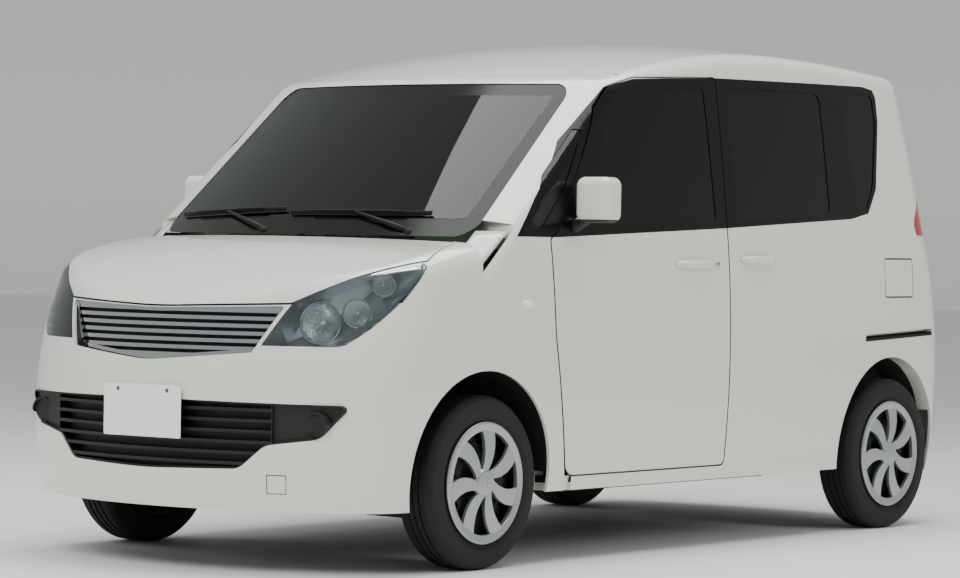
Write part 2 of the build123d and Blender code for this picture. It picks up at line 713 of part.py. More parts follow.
def nose_slab(face_y, lean, radius, depth, z0, z1):
    """Curved slab across the nose, its front at face_y at z0 and leaning back."""
    half = 760
    sag = radius - sqrt(radius**2 - half**2)
    inner = radius - depth
    sag_in = depth + inner - sqrt(inner**2 - half**2)
    ring = make_face(Wire([
        ThreePointArc((-half, face_y + sag), (0, face_y), (half, face_y + sag)),
        Line((half, face_y + sag), (half, face_y + sag_in)),
        ThreePointArc((half, face_y + sag_in), (0, face_y + depth), (-half, face_y + sag_in)),
        Line((-half, face_y + sag_in), (-half, face_y + sag)),
    ]))
    rise = z1 - z0
    return extrude(Pos(0, 0, z0) * ring, amount=hypot(rise, lean * rise), dir=(0, lean, 1))


def make_radiator_grille():
    """Chrome frame and louvres, one moulding on a dark backing rib."""
    face = outline(GRILLE)
    hole = grown(face, -GRILLE_FRAME)
    rim = nose_slab(GRILLE_FACE_Y, GRILLE_LEAN, GRILLE_PLAN_R, 30, 640, 860)
    frame = (rim & front_prism(grown(face, -FIT), -1900, -1500)) - front_prism(hole, -1900, -1500)
    band = nose_slab(GRILLE_FACE_Y + 4, GRILLE_LEAN, GRILLE_PLAN_R, 22, 640, 860)
    step = (GRILLE_TOP - GRILLE_LOW) / GRILLE_BARS
    bars = []
    for n in range(GRILLE_BARS):
        z = GRILLE_LOW + step * (n + 0.5)
        bars.append(box(-500, 500, -1900, -1500, z - GRILLE_BAR_T / 2, z + GRILLE_BAR_T / 2))
    louvres = band & front_prism(grown(face, 1 - GRILLE_FRAME), -1900, -1500)
    louvres = louvres & Compound(bars)
    back = nose_slab(GRILLE_FACE_Y + 22, GRILLE_LEAN, GRILLE_PLAN_R, 6, 640, 860)
    back = back & front_prism(grown(face, -FIT), -1900, -1500)
    return frame.fuse(*louvres.solids(), back)


def make_bumper_grille():
    """Black lower grille: slots between its slats, and a blank round cap at each end."""
    face = outline(INTAKE)
    slab = main_solid(nose_slab(INTAKE_FACE_Y, 0, INTAKE_PLAN_R, 44, 300, 560) & front_prism(face, -1900, -1400))
    hollow = nose_slab(INTAKE_FACE_Y - 40, 0, INTAKE_PLAN_R + 40, 74, 290, 570)
    inner = hollow & front_prism(grown(face, -6), -1900, -1400)
    pitch = (INTAKE_TOP - INTAKE_LOW) / INTAKE_BARS
    slots = []
    for n in range(INTAKE_BARS + 1):
        z = INTAKE_LOW + pitch * n
        slots.append(box(-455, 455, -1900, -1400, z - pitch / 2 + 5, z + pitch / 2 - 5))
    cheek_front = nose_slab(INTAKE_FACE_Y - 40, 0, INTAKE_PLAN_R + 40, 50, 290, 570)
    cheek_front = cheek_front & front_prism(grown(face, -6), -1900, -1400)
    cuts = [(inner & slot) for slot in slots]
    cuts += [(cheek_front & box(458, 1000, -1900, -1400, 290, 570)), (cheek_front & box(-1000, -458, -1900, -1400, 290, 570))]
    shape = slab
    for cut in cuts:
        for solid in cut.solids():
            shape = shape - solid
    caps = []
    for side in (1, -1):
        cap = Pos(side * FOG_X, FOG_Y, FOG_Z) * Rot(90, 0, side * FOG_TURN) * (
            Cylinder(FOG_R, 24) - Pos(0, 0, 10) * Cylinder(FOG_R - 7, 12))
        caps.append(main_solid(cap & front_prism(grown(face, -FIT), -1900, -1400)))
    return main_solid(shape).fuse(*caps)


COWL_HALF = 668
GRILLE_FACE_Y = -1812
GRILLE_LEAN = 0.1
GRILLE_PLAN_R = 1060
GRILLE_FRAME = 12
GRILLE_TOP = 830
GRILLE_LOW = 665
GRILLE_BARS = 7
GRILLE_BAR_T = 12
INTAKE_FACE_Y = -1836
INTAKE_PLAN_R = 1370
INTAKE_BARS = 6
INTAKE_LOW = 330
INTAKE_TOP = 530
FOG_X = 591
FOG_Y = -1694
FOG_Z = 469
FOG_R = 44
FOG_TURN = 25
LENS_T = 4
LAMP_DEPTH = 110


def make_headlamp():
    """Left headlamp: the lens and the housing with its bowl behind it."""
    lens = main_solid((NOSE & LAMP_L) - nose_form(LENS_T, SHOULDER_R))
    core = main_solid((nose_form(LENS_T + FIT, SHOULDER_R) & LAMP_L) - envelope(LAMP_DEPTH))
    return lens, core




def make_tailgate():
    zone = front_prism(outline(TAILGATE), HATCH_Y, 1900)
    gate = SHELL & zone
    gate -= side_prism(outline(REAR_BUMPER), -1000, 1000)
    window = front_prism(outline(TAILGATE_GLASS), 1500, 1900)
    face = grown(outline(TAILGATE_GLASS), GLASS_LAP)
    pane = (PANE_OUT & front_prism(face, 1500, 1900)) - PANE_IN
    slot_face = grown(outline(TAILGATE_GLASS), GLASS_LAP + FIT)
    slot = (SLOT_OUT & front_prism(slot_face, 1500, 1900)) - SLOT_IN
    screws = [rod((x, 1600, PLATE_HOLE_Z), (x, 1900, PLATE_HOLE_Z), PLATE_HOLE_R) for x in (-PLATE_HOLE_X, PLATE_HOLE_X)]
    gate = main_solid(gate.cut(window, slot, *screws))
    return gate.fuse(*both_sides(gate_arm())), main_solid(pane)


def make_rear_bumper():
    skin = (envelope(0) & side_prism(outline(REAR_BUMPER), -1000, 1000)) - SIDE_SKIN
    skin = skin & box(-1000, 1000, 1500, 1900, 200, BUMPER_TOP)
    return main_solid(skin - arch_cut(REAR_ARCH, ARCH_R, -1000, 1000))


# Wheels. Each is modelled at the left front place, its outer side towards +X.

RIM_HALF = 70
HUB_FACE = 30
BOLT_CIRCLE_R = 50
BOLT_R = 6
HUB_BORE_R = 27
SPOKES = 7
COVER_X = 62
COVER_HUB_R = 48


def lathe(rows, x_sign=1):
    """Turned part about the X axis from (radius, x) rows."""
    face = make_face(FilletPolyline(
        *[(row[1] * x_sign, row[0]) for row in rows], radius=[row[2] if len(row) > 2 else 0 for row in rows],
        close=True))
    return revolve(Plane.XZ * face, Axis.X, 360)


def make_tyre():
    rows = [
        (RIM_R + 2, -RIM_HALF + 10, 4), (RIM_R + 14, -RIM_HALF + 5.6), (COVER_R + 24, -TYRE_HALF + 2, 30),
        (TYRE_R - 14, -TYRE_HALF + 5, 24),
        (TYRE_R, -TYRE_HALF + 26, 14), (TYRE_R, TYRE_HALF - 26, 14), (TYRE_R - 14, TYRE_HALF - 5, 24),
        (COVER_R + 26, TYRE_HALF - 2, 24), (COVER_R + 6, RIM_HALF - 3), (RIM_R + 14, RIM_HALF - 5.6),
        (RIM_R + 2, RIM_HALF - 10, 4),
    ]
    body = lathe(rows)
    grooves = []
    for x in (-24, 0, 24):
        grooves.append(lathe([(TYRE_R - 6, x - 4), (TYRE_R + 5, x - 4), (TYRE_R + 5, x + 4), (TYRE_R - 6, x + 4)]))
    return body.cut(*grooves)


def make_wheel():
    """Steel rim with its disc, and the swirl-bladed plastic cover clipped on."""
    rim = lathe([
        (RIM_R + 12, -RIM_HALF, 3), (RIM_R + 12, -RIM_HALF + 5, 2), (RIM_R + 1.7, -RIM_HALF + 5, 3),
        (RIM_R + 1.7, RIM_HALF - 5, 3), (RIM_R + 12, RIM_HALF - 5, 2), (RIM_R + 12, RIM_HALF, 3),
        (RIM_R - 3, RIM_HALF, 3), (RIM_R - 6, 0, 40), (RIM_R - 3, -RIM_HALF, 3),
    ])
    disc = lathe([
        (HUB_BORE_R, HUB_FACE), (HUB_BORE_R, HUB_FACE + 6), (70, HUB_FACE + 6, 10), (110, HUB_FACE + 22, 20),
        (RIM_R - 2, HUB_FACE + 4), (RIM_R - 2, HUB_FACE - 4), (110, HUB_FACE + 14, 20), (70, HUB_FACE, 10),
    ])
    holes = [
        Rot(90 * n + 45, 0, 0) * Pos(HUB_FACE, 0, BOLT_CIRCLE_R) * Rot(0, 90, 0) * Cylinder(BOLT_R, 40)
        for n in range(4)
    ]
    vents = [
        Rot(40 * n, 0, 0) * Pos(HUB_FACE + 10, 0, 138) * Rot(0, 90, 0) * Cylinder(14, 40) for n in range(9)
    ]
    wheel = rim + disc.cut(*holes, *vents)
    return wheel + make_cover()


def make_cover():
    ring = lathe([
        (RIM_R - 4, COVER_X - 14), (RIM_R - 4, COVER_X + 4), (COVER_R - 3, COVER_X + 9, 2), (COVER_R, COVER_X + 12, 2),
        (COVER_R - 6, COVER_X + 17, 3), (RIM_R - 12, COVER_X + 14, 3), (RIM_R - 12, COVER_X - 14),
    ])
    hub = lathe([(0, COVER_X), (0, COVER_X + 19), (COVER_HUB_R - 8, COVER_X + 18, 8), (COVER_HUB_R, COVER_X + 8), (COVER_HUB_R, COVER_X)])
    blades = []
    for n in range(SPOKES):
        blade = make_face(Wire([
            ThreePointArc((COVER_HUB_R - 6, -16), (105, -46), (RIM_R - 6, -40)),
            Line((RIM_R - 6, -40), (RIM_R - 4, 22)),
            ThreePointArc((RIM_R - 4, 22), (112, 2), (COVER_HUB_R - 6, 16)),
            Line((COVER_HUB_R - 6, 16), (COVER_HUB_R - 6, -16)),
        ]))
        solid = extrude(Plane((COVER_X + 2, 0, 0), x_dir=(0, 0, 1), z_dir=(1, 0, 0)) * blade, amount=11)
        blades.append(Rot(360 / SPOKES * n, 0, 0) * solid)
    return ring.fuse(hub, *blades)


# Steering axis, leaning in at the top, through the lower ball joint
BALL = (650, FRONT_AXLE_Y, 166)
STRUT_TOP = (540, FRONT_AXLE_Y, 790)
BALL_R = 14
STRUT_R = 22
STRUT_ROD_R = 9


def make_knuckle():
    """Left steering knuckle with its hub, brake disc, ball joint and the strut that turns with it."""
    hub = lathe([
        (0, HUB_FACE - 75), (0, HUB_FACE + 20), (HUB_BORE_R - FIT, HUB_FACE + 20, 3), (HUB_BORE_R - FIT, HUB_FACE - FIT),
        (66, HUB_FACE - FIT), (66, HUB_FACE - 10), (40, HUB_FACE - 10, 6), (40, HUB_FACE - 75),
    ])
    disc = lathe([(60, HUB_FACE - 18), (60, HUB_FACE - 10), (118, HUB_FACE - 10), (118, HUB_FACE - 18)])
    neck = box(-70, -36, -34, 34, -84, 60)
    caliper = box(-70, 10, 86, 136, -50, 50) - lathe([(0, HUB_FACE - 22), (0, HUB_FACE - 6), (122, HUB_FACE - 6), (122, HUB_FACE - 22)])
    bridge = box(-70, -36, 20, 100, -40, 40)
    upright = place(hub.fuse(disc, neck, bridge, caliper), LEFT, FRONT_AXLE_Y)
    lean = (Vector(*STRUT_TOP) - Vector(*BALL)).normalized()
    base = Vector(*BALL)
    stud = rod(base, base + lean * 60, 8) + Pos(*BALL) * Sphere(BALL_R)
    tube = rod(base + lean * 130, base + lean * 470, STRUT_R)
    stem = rod(base + lean * 400, base + lean * 628, STRUT_ROD_R)
    clamp = box(606, 640, FRONT_AXLE_Y - 30, FRONT_AXLE_Y + 30, 300, 338)
    rows = [(STRUT_ROD_R, 424), (62, 424), (62, 430)]
    for n in range(SPRING_TURNS):
        rows += [(46, 430 + SPRING_PITCH * n), (58, 430 + SPRING_PITCH * (n + 0.5))]
    rows += [(46, 430 + SPRING_PITCH * SPRING_TURNS), (STRUT_ROD_R, 430 + SPRING_PITCH * SPRING_TURNS)]
    side_on = Plane(origin=base, x_dir=Vector(lean.Z, 0, -lean.X), z_dir=Vector(0, -1, 0))
    spring = revolve(side_on * make_face(Polyline(*rows, close=True)), Axis(base, lean), 360)
    return upright.fuse(stud, tube, stem, clamp, spring)


SPRING_TURNS = 5
SPRING_PITCH = 32

# Placing of wheels
LEFT = 1


def place(shape, side, y, z=TYRE_R):
    """Put a left wheel-side piece at its axle, mirrored for the right."""
    moved = Pos(TRACK_HALF, y, z) * shape
    return moved if side == LEFT else right_of(moved)


def make_front_suspension():
    """Crossmember, lower arms with their ball cups, and the steering rack."""
    z = TYRE_R
    y = FRONT_AXLE_Y
    arm = plan_prism(make_face(Polyline(
        (300, y + 140), (320, y - 10), (BALL[0] - 20, y - 20), (BALL[0] + 14, y), (BALL[0] - 20, y + 24),
        close=True)), z - 130, z - 112)
    cup = Pos(BALL[0], BALL[1], BALL[2]) * Cylinder(24, 30)
    hollow = Pos(*BALL) * Sphere(BALL_R + FIT)
    mouth = Pos(BALL[0] - 2, BALL[1], BALL[2] + 16) * Cone(BALL_R + 3, BALL_R + 8, 24)
    half = main_solid((arm + cup).cut(hollow, mouth))
    post = box(300, 340, y - 10, y + 140, z - 130, z - 70)
    rack = rod((60, y + 110, z - 40), (470, y + 110, z - 40), 16)
    parts = [box(-330, 330, y - 20, y + 150, z - 110, z - 70), rod((-120, y + 110, z - 40), (120, y + 110, z - 40), 26),
             box(-60, 60, y + 90, y + 130, z - 72, z - 40)]
    for piece in (half, post, rack):
        parts += both_sides(piece)
    for x in (-300, 270):
        parts.append(box(x, x + 30, y + 110, y + 150, z - 75, 300))
    return joined(parts)


# Rear wheel spindle and its running gap
SPINDLE_R = 18
SPINDLE_GAP = 0.5


def make_rear_axle():
    """Torsion beam with its trailing arms, spring pans and stub axles."""
    z = TYRE_R
    y = REAR_AXLE_Y
    beam = rod((-560, y - 120, z + 10), (560, y - 120, z + 10), 38)
    parts = [beam]
    for side in (1, -1):
        arm = box(min(side * 500, side * 560), max(side * 500, side * 560), y - 430, y + 60, z - 30, z + 20)
        eye = rod((side * 490, y - 430, z), (side * 570, y - 430, z), 34)
        flange = rod((side * 550, y, z), (side * (TRACK_HALF + HUB_FACE - 80), y, z), 44)
        stub = rod((side * 550, y, z), (side * (TRACK_HALF + HUB_FACE - 14), y, z), SPINDLE_R)
        damper = rod((side * 530, y + 30, z + 10), (side * 530, y + 60, z + 173.5), 18)
        parts += [arm, eye, flange, stub, damper]
    return joined(parts)


def make_rear_drum():
    """Brake drum that turns with a rear wheel."""
    return lathe([
        (SPINDLE_R + SPINDLE_GAP, HUB_FACE - 70), (SPINDLE_R + SPINDLE_GAP, HUB_FACE - 10), (0, HUB_FACE - 10),
        (0, HUB_FACE + 20), (HUB_BORE_R, HUB_FACE + 20), (HUB_BORE_R, HUB_FACE), (104, HUB_FACE), (104, HUB_FACE - 70),
    ])


# Bulkhead between engine and cabin, side view (y, z)
BULKHEAD = [
    (-776, 225), (-776, 640, 60), (-985, 800, 60), (-985, 900, 60), (-1130, 960, 40), (-1130, 1000),
    (-1118, 1000), (-1118, 968, 40), (-970, 908, 60), (-970, 806, 60), (-761, 646, 60), (-761, 225),
]
BULKHEAD_HALF = POST_IN - FIT


# Engine block: right, left, front, rear, bottom, top
ENGINE = (-330, 300, -1560, -1030, 300, 740)


def make_front_structure():
    """Bulkhead, front rails, strut towers, radiator support and bonnet brackets."""
    y = FRONT_AXLE_Y
    wall = side_prism(outline(BULKHEAD), -BULKHEAD_HALF, BULKHEAD_HALF)
    cup = Pos(STRUT_TOP[0], STRUT_TOP[1], STRUT_TOP[2] - 6) * Cylinder(78, 12)
    lean = (Vector(*STRUT_TOP) - Vector(*BALL)).normalized()
    top = Vector(*STRUT_TOP)
    bore = rod(top - lean * 60, top + lean * 60, STRUT_ROD_R + FIT)
    half = [
        box(400, 463, -1695, -770, 430, 540),
        side_prism(outline([(-1480, 300), (-775, 300), (-775, 642), (-972, 790), (-1480, 790)]), 462, WELL_X),
        box(456, 640, y - 70, y + 160, 766, 784),
        box(456, 470, y - 70, y + 160, 700, 784),
        cup,
        hood_bracket(),
    ]
    support = box(-400, 400, -1700, -1680, 330, 690) - box(-360, 360, -1710, -1670, 360, 640)
    tie = box(-390, 390, -1640, -1612, 770, 800)
    legs = [box(370, 390, -1684, -1612, 660, 690), box(370, 390, -1640, -1612, 660, 780)]
    radiator = box(-350, 350, -1679.7, -1640, 350, 650)
    catch = box(-40, 40, -1660, -1612, 780, 800)
    rib = (box(-500, 500, -1130, -1118, 990, 1100) & hood_form(22 + FIT)) & envelope(60)
    mounts = [
        box(ENGINE[1] + FIT, 401, -1340, -1280, 470, 520), box(-401, ENGINE[0] - FIT, -1340, -1280, 470, 520)]
    parts = [wall, rib, support, tie, radiator, catch] + mounts
    for piece in half + legs:
        parts += both_sides(piece)
    shape = joined(parts)
    return main_solid(shape.cut(*both_sides(bore)))


# Screw holes for a rear plate
PLATE_HOLE_X = 105
PLATE_HOLE_Z = 905
PLATE_HOLE_R = 3.3


def make_front_liner():
    """Left front wheel liner, a rolled shell open where the strut comes through."""
    liner = arch_cut(FRONT_ARCH, LINER_R + LINER_T, WELL_X + FIT, 900) - arch_cut(FRONT_ARCH, LINER_R, WELL_X - 5, 905)
    liner = liner & envelope(SKIN + FIT)
    liner -= box(0, 1000, -1900, 0, -200, 300)
    liner -= box(0, 1000, FRONT_ARCH[0], 0, -200, 300)
    opening = Pos(STRUT_TOP[0] + 20, STRUT_TOP[1], 640) * Cylinder(84, 300)
    return main_solid(liner.cut(opening, box(0, POST_IN, -780, 0, 0, 900)))


def make_engine():
    return box(*ENGINE)


def make_cowl():
    """Black scuttle panel under the windscreen's foot, with the two wipers."""
    zone = plan_prism(outline([
        (-662, -1136), (-640, -1010), (0, -1190, 2300), (640, -1010), (662, -1136), (0, -1322, 2350)]), 900, 1140)
    panel = zone & (envelope(30) & hood_form(14)) - hood_form(22)
    for side in (1, -1):
        x0, x1 = sorted((side * 618, side * 700))
        panel = panel - box(x0, x1, -1400, -1000, 800, 1200)
    return main_solid(panel)


# Dashboard, side view (y, z)
DASH = [
    (-1096, 974), (-1096, 1008, 12), (-980, 1026, 100), (-760, 1012, 50), (-655, 975, 30), (-628, 900, 30),
    (-660, 780, 30), (-745, 645), (-757, 652), (-962, 806), (-962, 916),
]
COLUMN_BORE = 16.3


def make_dashboard():
    shape = side_prism(outline(DASH), -BULKHEAD_HALF, BULKHEAD_HALF) & envelope(POST_DEPTH)
    shape = (shape - side_prism(grown(outline(BULKHEAD), FIT), -700, 700)) & screen_form(30)
    column = STEER_PLANE * (Pos(0, 0, -130) * Cylinder(38, 120))
    binnacle = Pos(STEER_X, -720, 1010) * Rot(-12, 0, 0) * Box(330, 130, 60)
    binnacle = fillet(binnacle.edges().filter_by(Axis.X), 20)
    shape = main_solid(shape).fuse(column, binnacle & envelope(POST_DEPTH))
    return main_solid(shape - STEER_PLANE * (Pos(0, 0, -120) * Cylinder(COLUMN_BORE, 180)))


POST_DEPTH = 115
STEER_X = -340
STEER_PLANE = Plane((STEER_X, -500, 960), x_dir=(1, 0, 0), z_dir=(0, cos(radians(28)), sin(radians(28))))


def seat(x, y, z, width):
    cushion = Pos(x, y, z) * Box(width, 500, 150)
    back = Pos(x, y + 250, z + 330) * Rot(-18, 0, 0) * Box(width, 120, 640)
    rest = Pos(x, y + 360, z + 690) * Rot(-18, 0, 0) * Box(width * 0.55, 90, 180)
    return [cushion, back, rest]


def make_front_seats():
    parts = []
    for x in (-340, 340):
        base = Pos(x, -60, 336) * Box(420, 380, 171)
        parts.append(joined([base] + seat(x, -60, 480, 480)))
    return Compound(parts)


def make_rear_bench():
    base = Pos(0, 880, 510.5) * Box(1120, 380, 60)
    parts = [base] + seat(0, 880, 590, 1120)
    return joined(parts)


def make_steering_wheel():
    ring = Torus(178, 14)
    hub = Cylinder(55, 40)
    spokes = [Box(330, 34, 12), Pos(0, -85, 0) * Box(40, 150, 12)]
    shaft = Pos(0, 0, -100) * Cylinder(16, 170)
    return STEER_PLANE * ring.fuse(hub, shaft, *spokes)


def make_mirror():
    """Left door mirror: a rounded housing on its foot at the window's front corner."""
    head = Pos(868, -630, 1186) * Box(136, 100, 150)
    head = fillet(head.edges(), 30)
    foot = rod((770, -640, 1092), (850, -636, 1140), 20) - envelope(0)
    return head.fuse(main_solid(foot))


def make_exhaust():
    y = 1150
    pipe = rod((-150, -600, 190), (-150, y, 190), 22)
    link = rod((-150, y, 190), (-150, 1540, 300), 22)
    silencer = rod((-330, 1560, 330), (330, 1560, 330), 70)
    tail = rod((-330, 1560, 290), (-330, 1665, TAIL_PIPE_Z), 22)
    tail += rod((-330, 1655, TAIL_PIPE_Z), (-330, 1800, TAIL_PIPE_Z), 22)
    bore = rod((-330, 1700, TAIL_PIPE_Z), (-330, 1801, TAIL_PIPE_Z), TAIL_PIPE_BORE)
    hangers = [rod((x, 1560, 380), (x, 1560, 480 - FLOOR_T - FIT), 9) for x in (-220, 220)]
    return joined([pipe, link, silencer, tail, Pos(-150, y, 190) * Sphere(22)] + hangers) - bore


TAIL_PIPE_BORE = 19
TAIL_PIPE_Z = 176


def make_fuel_tank():
    return fillet(box(-480, 350, 640, 1080, 275, 480 - FLOOR_T - FIT).edges(), 25)


def write(name, shape):
    export_step(shape, os.path.join("parts", name + ".step"))


os.makedirs("parts", exist_ok=True)
hood = make_hood()
bodyside = make_bodyside()
fender = make_fender()
lens, lamp = make_headlamp()
tailgate, tailgate_glass = make_tailgate()
door = door_panel(FRONT_DOOR).cut(side_window(FRONT_DOOR_GLASS), pane_slot(FRONT_DOOR_GLASS))
door = main_solid(door).fuse(*[hinge_neck(z) for z in HINGE_HEIGHTS])
slide_door = door_panel(SLIDE_DOOR).cut(side_window(SLIDE_DOOR_GLASS), pane_slot(SLIDE_DOOR_GLASS))
lamp_tail = CABIN & tail_lamp_zone()
flap = (envelope(0) & side_prism(grown(outline(FUEL_FLAP), -DOOR_GAP), 400, 1000)) - envelope(FLAP_SKIN)
flap = main_solid(flap) + (flap_hinge()[0] & envelope(1))
mirror_part = make_mirror()
tyre = make_tyre()
wheel = make_wheel()
rear_wheel = wheel + make_rear_drum()
knuckle = make_knuckle()

write("floorpan", make_floorpan())
write("bodyside_left", bodyside)
write("bodyside_right", right_of(bodyside))
write("roof_panel", make_roof())
write("front_structure", make_front_structure())
write("cowl_panel", make_cowl())
write("front_liners", Compound(both_sides(make_front_liner())))
write("front_fenders", Compound([fender, right_of(fender)]))
write("hood", hood)
write("front_bumper", make_front_bumper())
write("bumper_grille", make_bumper_grille())
write("radiator_grille", make_radiator_grille())
write("headlamps", Compound([lamp, right_of(lamp)]))
write("headlamp_lenses", Compound([lens, right_of(lens)]))
write("windshield", make_windshield())
panes = [side_pane(QUARTER_GLASS_FRONT, CORNER_PANE_OUT, CORNER_PANE_IN), side_pane(QUARTER_GLASS_REAR), side_pane(SLIDE_DOOR_GLASS)]
write("fixed_side_glass", Compound([p for pane in panes for p in both_sides(pane)]))
write("rear_bumper", make_rear_bumper())
write("tail_lamps", Compound(both_sides(lamp_tail)))
write("tailgate", tailgate)
write("tailgate_glass", tailgate_glass)
for name, shape in (("front_door", door), ("front_door_glass", side_pane(FRONT_DOOR_GLASS)), ("door_mirror", mirror_part),
                    ("sliding_door", slide_door)):
    write(name + "_left", shape)
    write(name + "_right", right_of(shape))
write("fuel_flap", flap)
write("dashboard", make_dashboard())
write("steering_wheel", make_steering_wheel())
write("front_seats", make_front_seats())
write("rear_bench", make_rear_bench())
write("engine", make_engine())
write("front_suspension", make_front_suspension())
write("rear_axle", make_rear_axle())
write("exhaust", make_exhaust())
write("fuel_tank", make_fuel_tank())
for name, side in (("left", 1), ("right", -1)):
    write("knuckle_" + name, knuckle if side == LEFT else right_of(knuckle))
    for end, y, disc in (("front", FRONT_AXLE_Y, wheel), ("rear", REAR_AXLE_Y, rear_wheel)):
        write("tyre_" + end + "_" + name, place(tyre, side, y))
        write("wheel_" + end + "_" + name, place(disc, side, y))
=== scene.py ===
"""Looks for a compact minivan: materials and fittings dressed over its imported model."""
import bpy
import bmesh
from math import cos, pi, radians, sin
from mathutils import Matrix, Vector


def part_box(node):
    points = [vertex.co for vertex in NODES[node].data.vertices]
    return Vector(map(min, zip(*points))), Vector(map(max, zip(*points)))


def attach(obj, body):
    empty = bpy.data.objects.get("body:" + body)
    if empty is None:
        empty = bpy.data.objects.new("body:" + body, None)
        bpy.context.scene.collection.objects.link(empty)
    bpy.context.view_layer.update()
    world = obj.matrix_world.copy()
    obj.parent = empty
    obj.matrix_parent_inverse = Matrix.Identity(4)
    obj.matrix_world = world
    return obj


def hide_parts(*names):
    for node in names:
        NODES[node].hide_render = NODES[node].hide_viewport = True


bl_info = {
    "name": "Compact Minivan Looks",
    "version": (1, 0, 0),
    "blender": (4, 5, 0),
    "location": "View3D > Sidebar > Van",
    "description": "Dresses the packed minivan with materials and fittings",
    "category": "Object",
}

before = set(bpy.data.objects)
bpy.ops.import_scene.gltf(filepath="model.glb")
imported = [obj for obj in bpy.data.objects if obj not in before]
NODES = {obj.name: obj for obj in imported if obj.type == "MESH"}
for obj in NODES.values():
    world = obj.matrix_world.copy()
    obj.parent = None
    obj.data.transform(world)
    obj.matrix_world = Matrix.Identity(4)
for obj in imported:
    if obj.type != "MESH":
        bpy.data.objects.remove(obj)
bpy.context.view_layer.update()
SIDES = (("left", 1), ("right", -1))

# Convex outlines in metres: (y, z) on the sides, (x, z) on the windscreen and the rear glass
BAND = [
    (-0.950, 1.062), (-0.845, 1.176), (-0.645, 1.379), (-0.506, 1.489), (-0.405, 1.566), (-0.248, 1.600),
    (0.220, 1.624), (0.923, 1.634), (1.228, 1.637), (1.300, 1.627), (1.318, 1.600), (1.318, 1.511),
    (1.264, 1.259), (1.196, 1.168), (1.072, 1.146), (0.223, 1.102), (-0.736, 1.062),
]
# Region round the door openings whose edge faces are painted near black as the shut lines' shade
DOORWAY = [(-0.80, 0.26), (-0.80, 1.05), (-0.40, 1.55), (-0.30, 1.615), (0.95, 1.63), (0.965, 0.26)]
# Outline of the sliding door's rail slot on the side panels, painted near black as the shade inside the slot
RAIL_SLOT = [(1.146, 0.697), (1.640, 0.715), (1.640, 0.733), (1.146, 0.715)]
SCREEN = [(-0.612, 1.118), (-0.585, 1.535), (0.585, 1.535), (0.612, 1.118)]
HATCH_GLASS = [(-0.520, 1.140), (-0.490, 1.570), (0.490, 1.570), (0.520, 1.140)]

# Wheels and tyres
FRONT_AXLE_Y = -1.095
REAR_AXLE_Y = 1.355
WHEEL_Z = 0.278
TYRE_MIDDLE_X = 0.705
TREAD_RADIUS = 0.255
TREAD_BLOCKS = 66
TREAD_LEAN = 90
SIDEWALL_RIBS = 420
COVER_X = 0.7655

# Grille: its face at the middle, the bow across the car and the louvres' depth, past which the backing is
# painted near black as shade
GRILLE_Y = -1.812
GRILLE_Z = 0.64
GRILLE_BOW = 0.4717
GRILLE_LEAN = 0.1
LOUVRE_DEPTH = 0.0215

# Where the windscreen is sampled, and the corner that is carried on beside it
SCREEN_X = (0.3, 0.6)
SCREEN_Z = (1.12, 1.50)
CORNER_X = (0.668, 0.752)
CORNER_Z = (0.955, 1.078)
CORNER_SHEET = 0.003

# Heights of the floor under the front seats and under the bench
FRONT_FLOOR_Z = 0.25
REAR_FLOOR_Z = 0.48

# Heights where the tail lamps turn clear and the mirrors' painted cases end, going down
TAIL_SPLIT_Z = 1.09
MIRROR_FOOT_Z = 1.122

# Facing times distance from the middle, below which a side panel's face is an inner one
EDGE_TURN = -0.21

CAMERA_PLACE = (7.622135, -9.909158, 1.059453)
SENSOR_WIDTH = 36.0

# Rays that look for a surface start this far out along the car, or beside it
START_OUT = 2.5
SIDE_OUT = 1.2


# Colour and shader helpers

def colour(code):
    """Linear RGBA from a hex sRGB colour."""
    parts = [int(code[i:i + 2], 16) / 255 for i in (1, 3, 5)]
    linear = [c / 12.92 if c <= 0.04045 else ((c + 0.055) / 1.055) ** 2.4 for c in parts]
    return (*linear, 1.0)


def node(tree, kind, **values):
    """New node with its settings, or the defaults of its sockets, given by name."""
    made = tree.nodes.new(kind)
    for key, value in values.items():
        if hasattr(made, key):
            setattr(made, key, value)
        else:
            made.inputs[key].default_value = value
    return made


def maths(tree, operation, a, b=None):
    """Output of a math node on numbers or sockets."""
    made = node(tree, "ShaderNodeMath", operation=operation)
    for slot, value in enumerate((a, b)):
        if value is None:
            continue
        if isinstance(value, (int, float)):
            made.inputs[slot].default_value = value
        else:
            tree.links.new(value, made.inputs[slot])
    return made.outputs[0]


def dotted(tree, vector, direction):
    """Share of a vector along a direction."""
    made = node(tree, "ShaderNodeVectorMath", operation="DOT_PRODUCT")
    tree.links.new(vector, made.inputs[0])
    made.inputs[1].default_value = direction
    return made.outputs["Value"]


def coordinates(tree, output="Object"):
    """Coordinates of a piece: its own place, or another output by name."""
    return node(tree, "ShaderNodeTexCoord").outputs[output]


def inside(tree, points, axes, invert=False):
    """Mask that is 1 inside a convex outline seen along one axis."""
    place = coordinates(tree)
    middle = [sum(p[i] for p in points) / len(points) for i in (0, 1)]
    mask = None
    for p, q in zip(points, points[1:] + points[:1]):
        normal = Vector((p[1] - q[1], q[0] - p[0])).normalized()
        if normal.dot(Vector(middle) - Vector(p)) < 0:
            normal = -normal
        direction = [0, 0, 0]
        direction[axes[0]] = normal.x
        direction[axes[1]] = normal.y
        side = maths(tree, "GREATER_THAN", dotted(tree, place, direction), normal.dot(Vector(p)))
        mask = side if mask is None else maths(tree, "MULTIPLY", mask, side)
    return maths(tree, "SUBTRACT", 1.0, mask) if invert else mask


def outward(tree):
    """Mask that is 1 on a side panel's outside and on its edges."""
    facing = dotted(tree, coordinates(tree, "Normal"), (1, 0, 0))
    place = dotted(tree, coordinates(tree), (1, 0, 0))
    return maths(tree, "GREATER_THAN", maths(tree, "MULTIPLY", facing, place), EDGE_TURN)


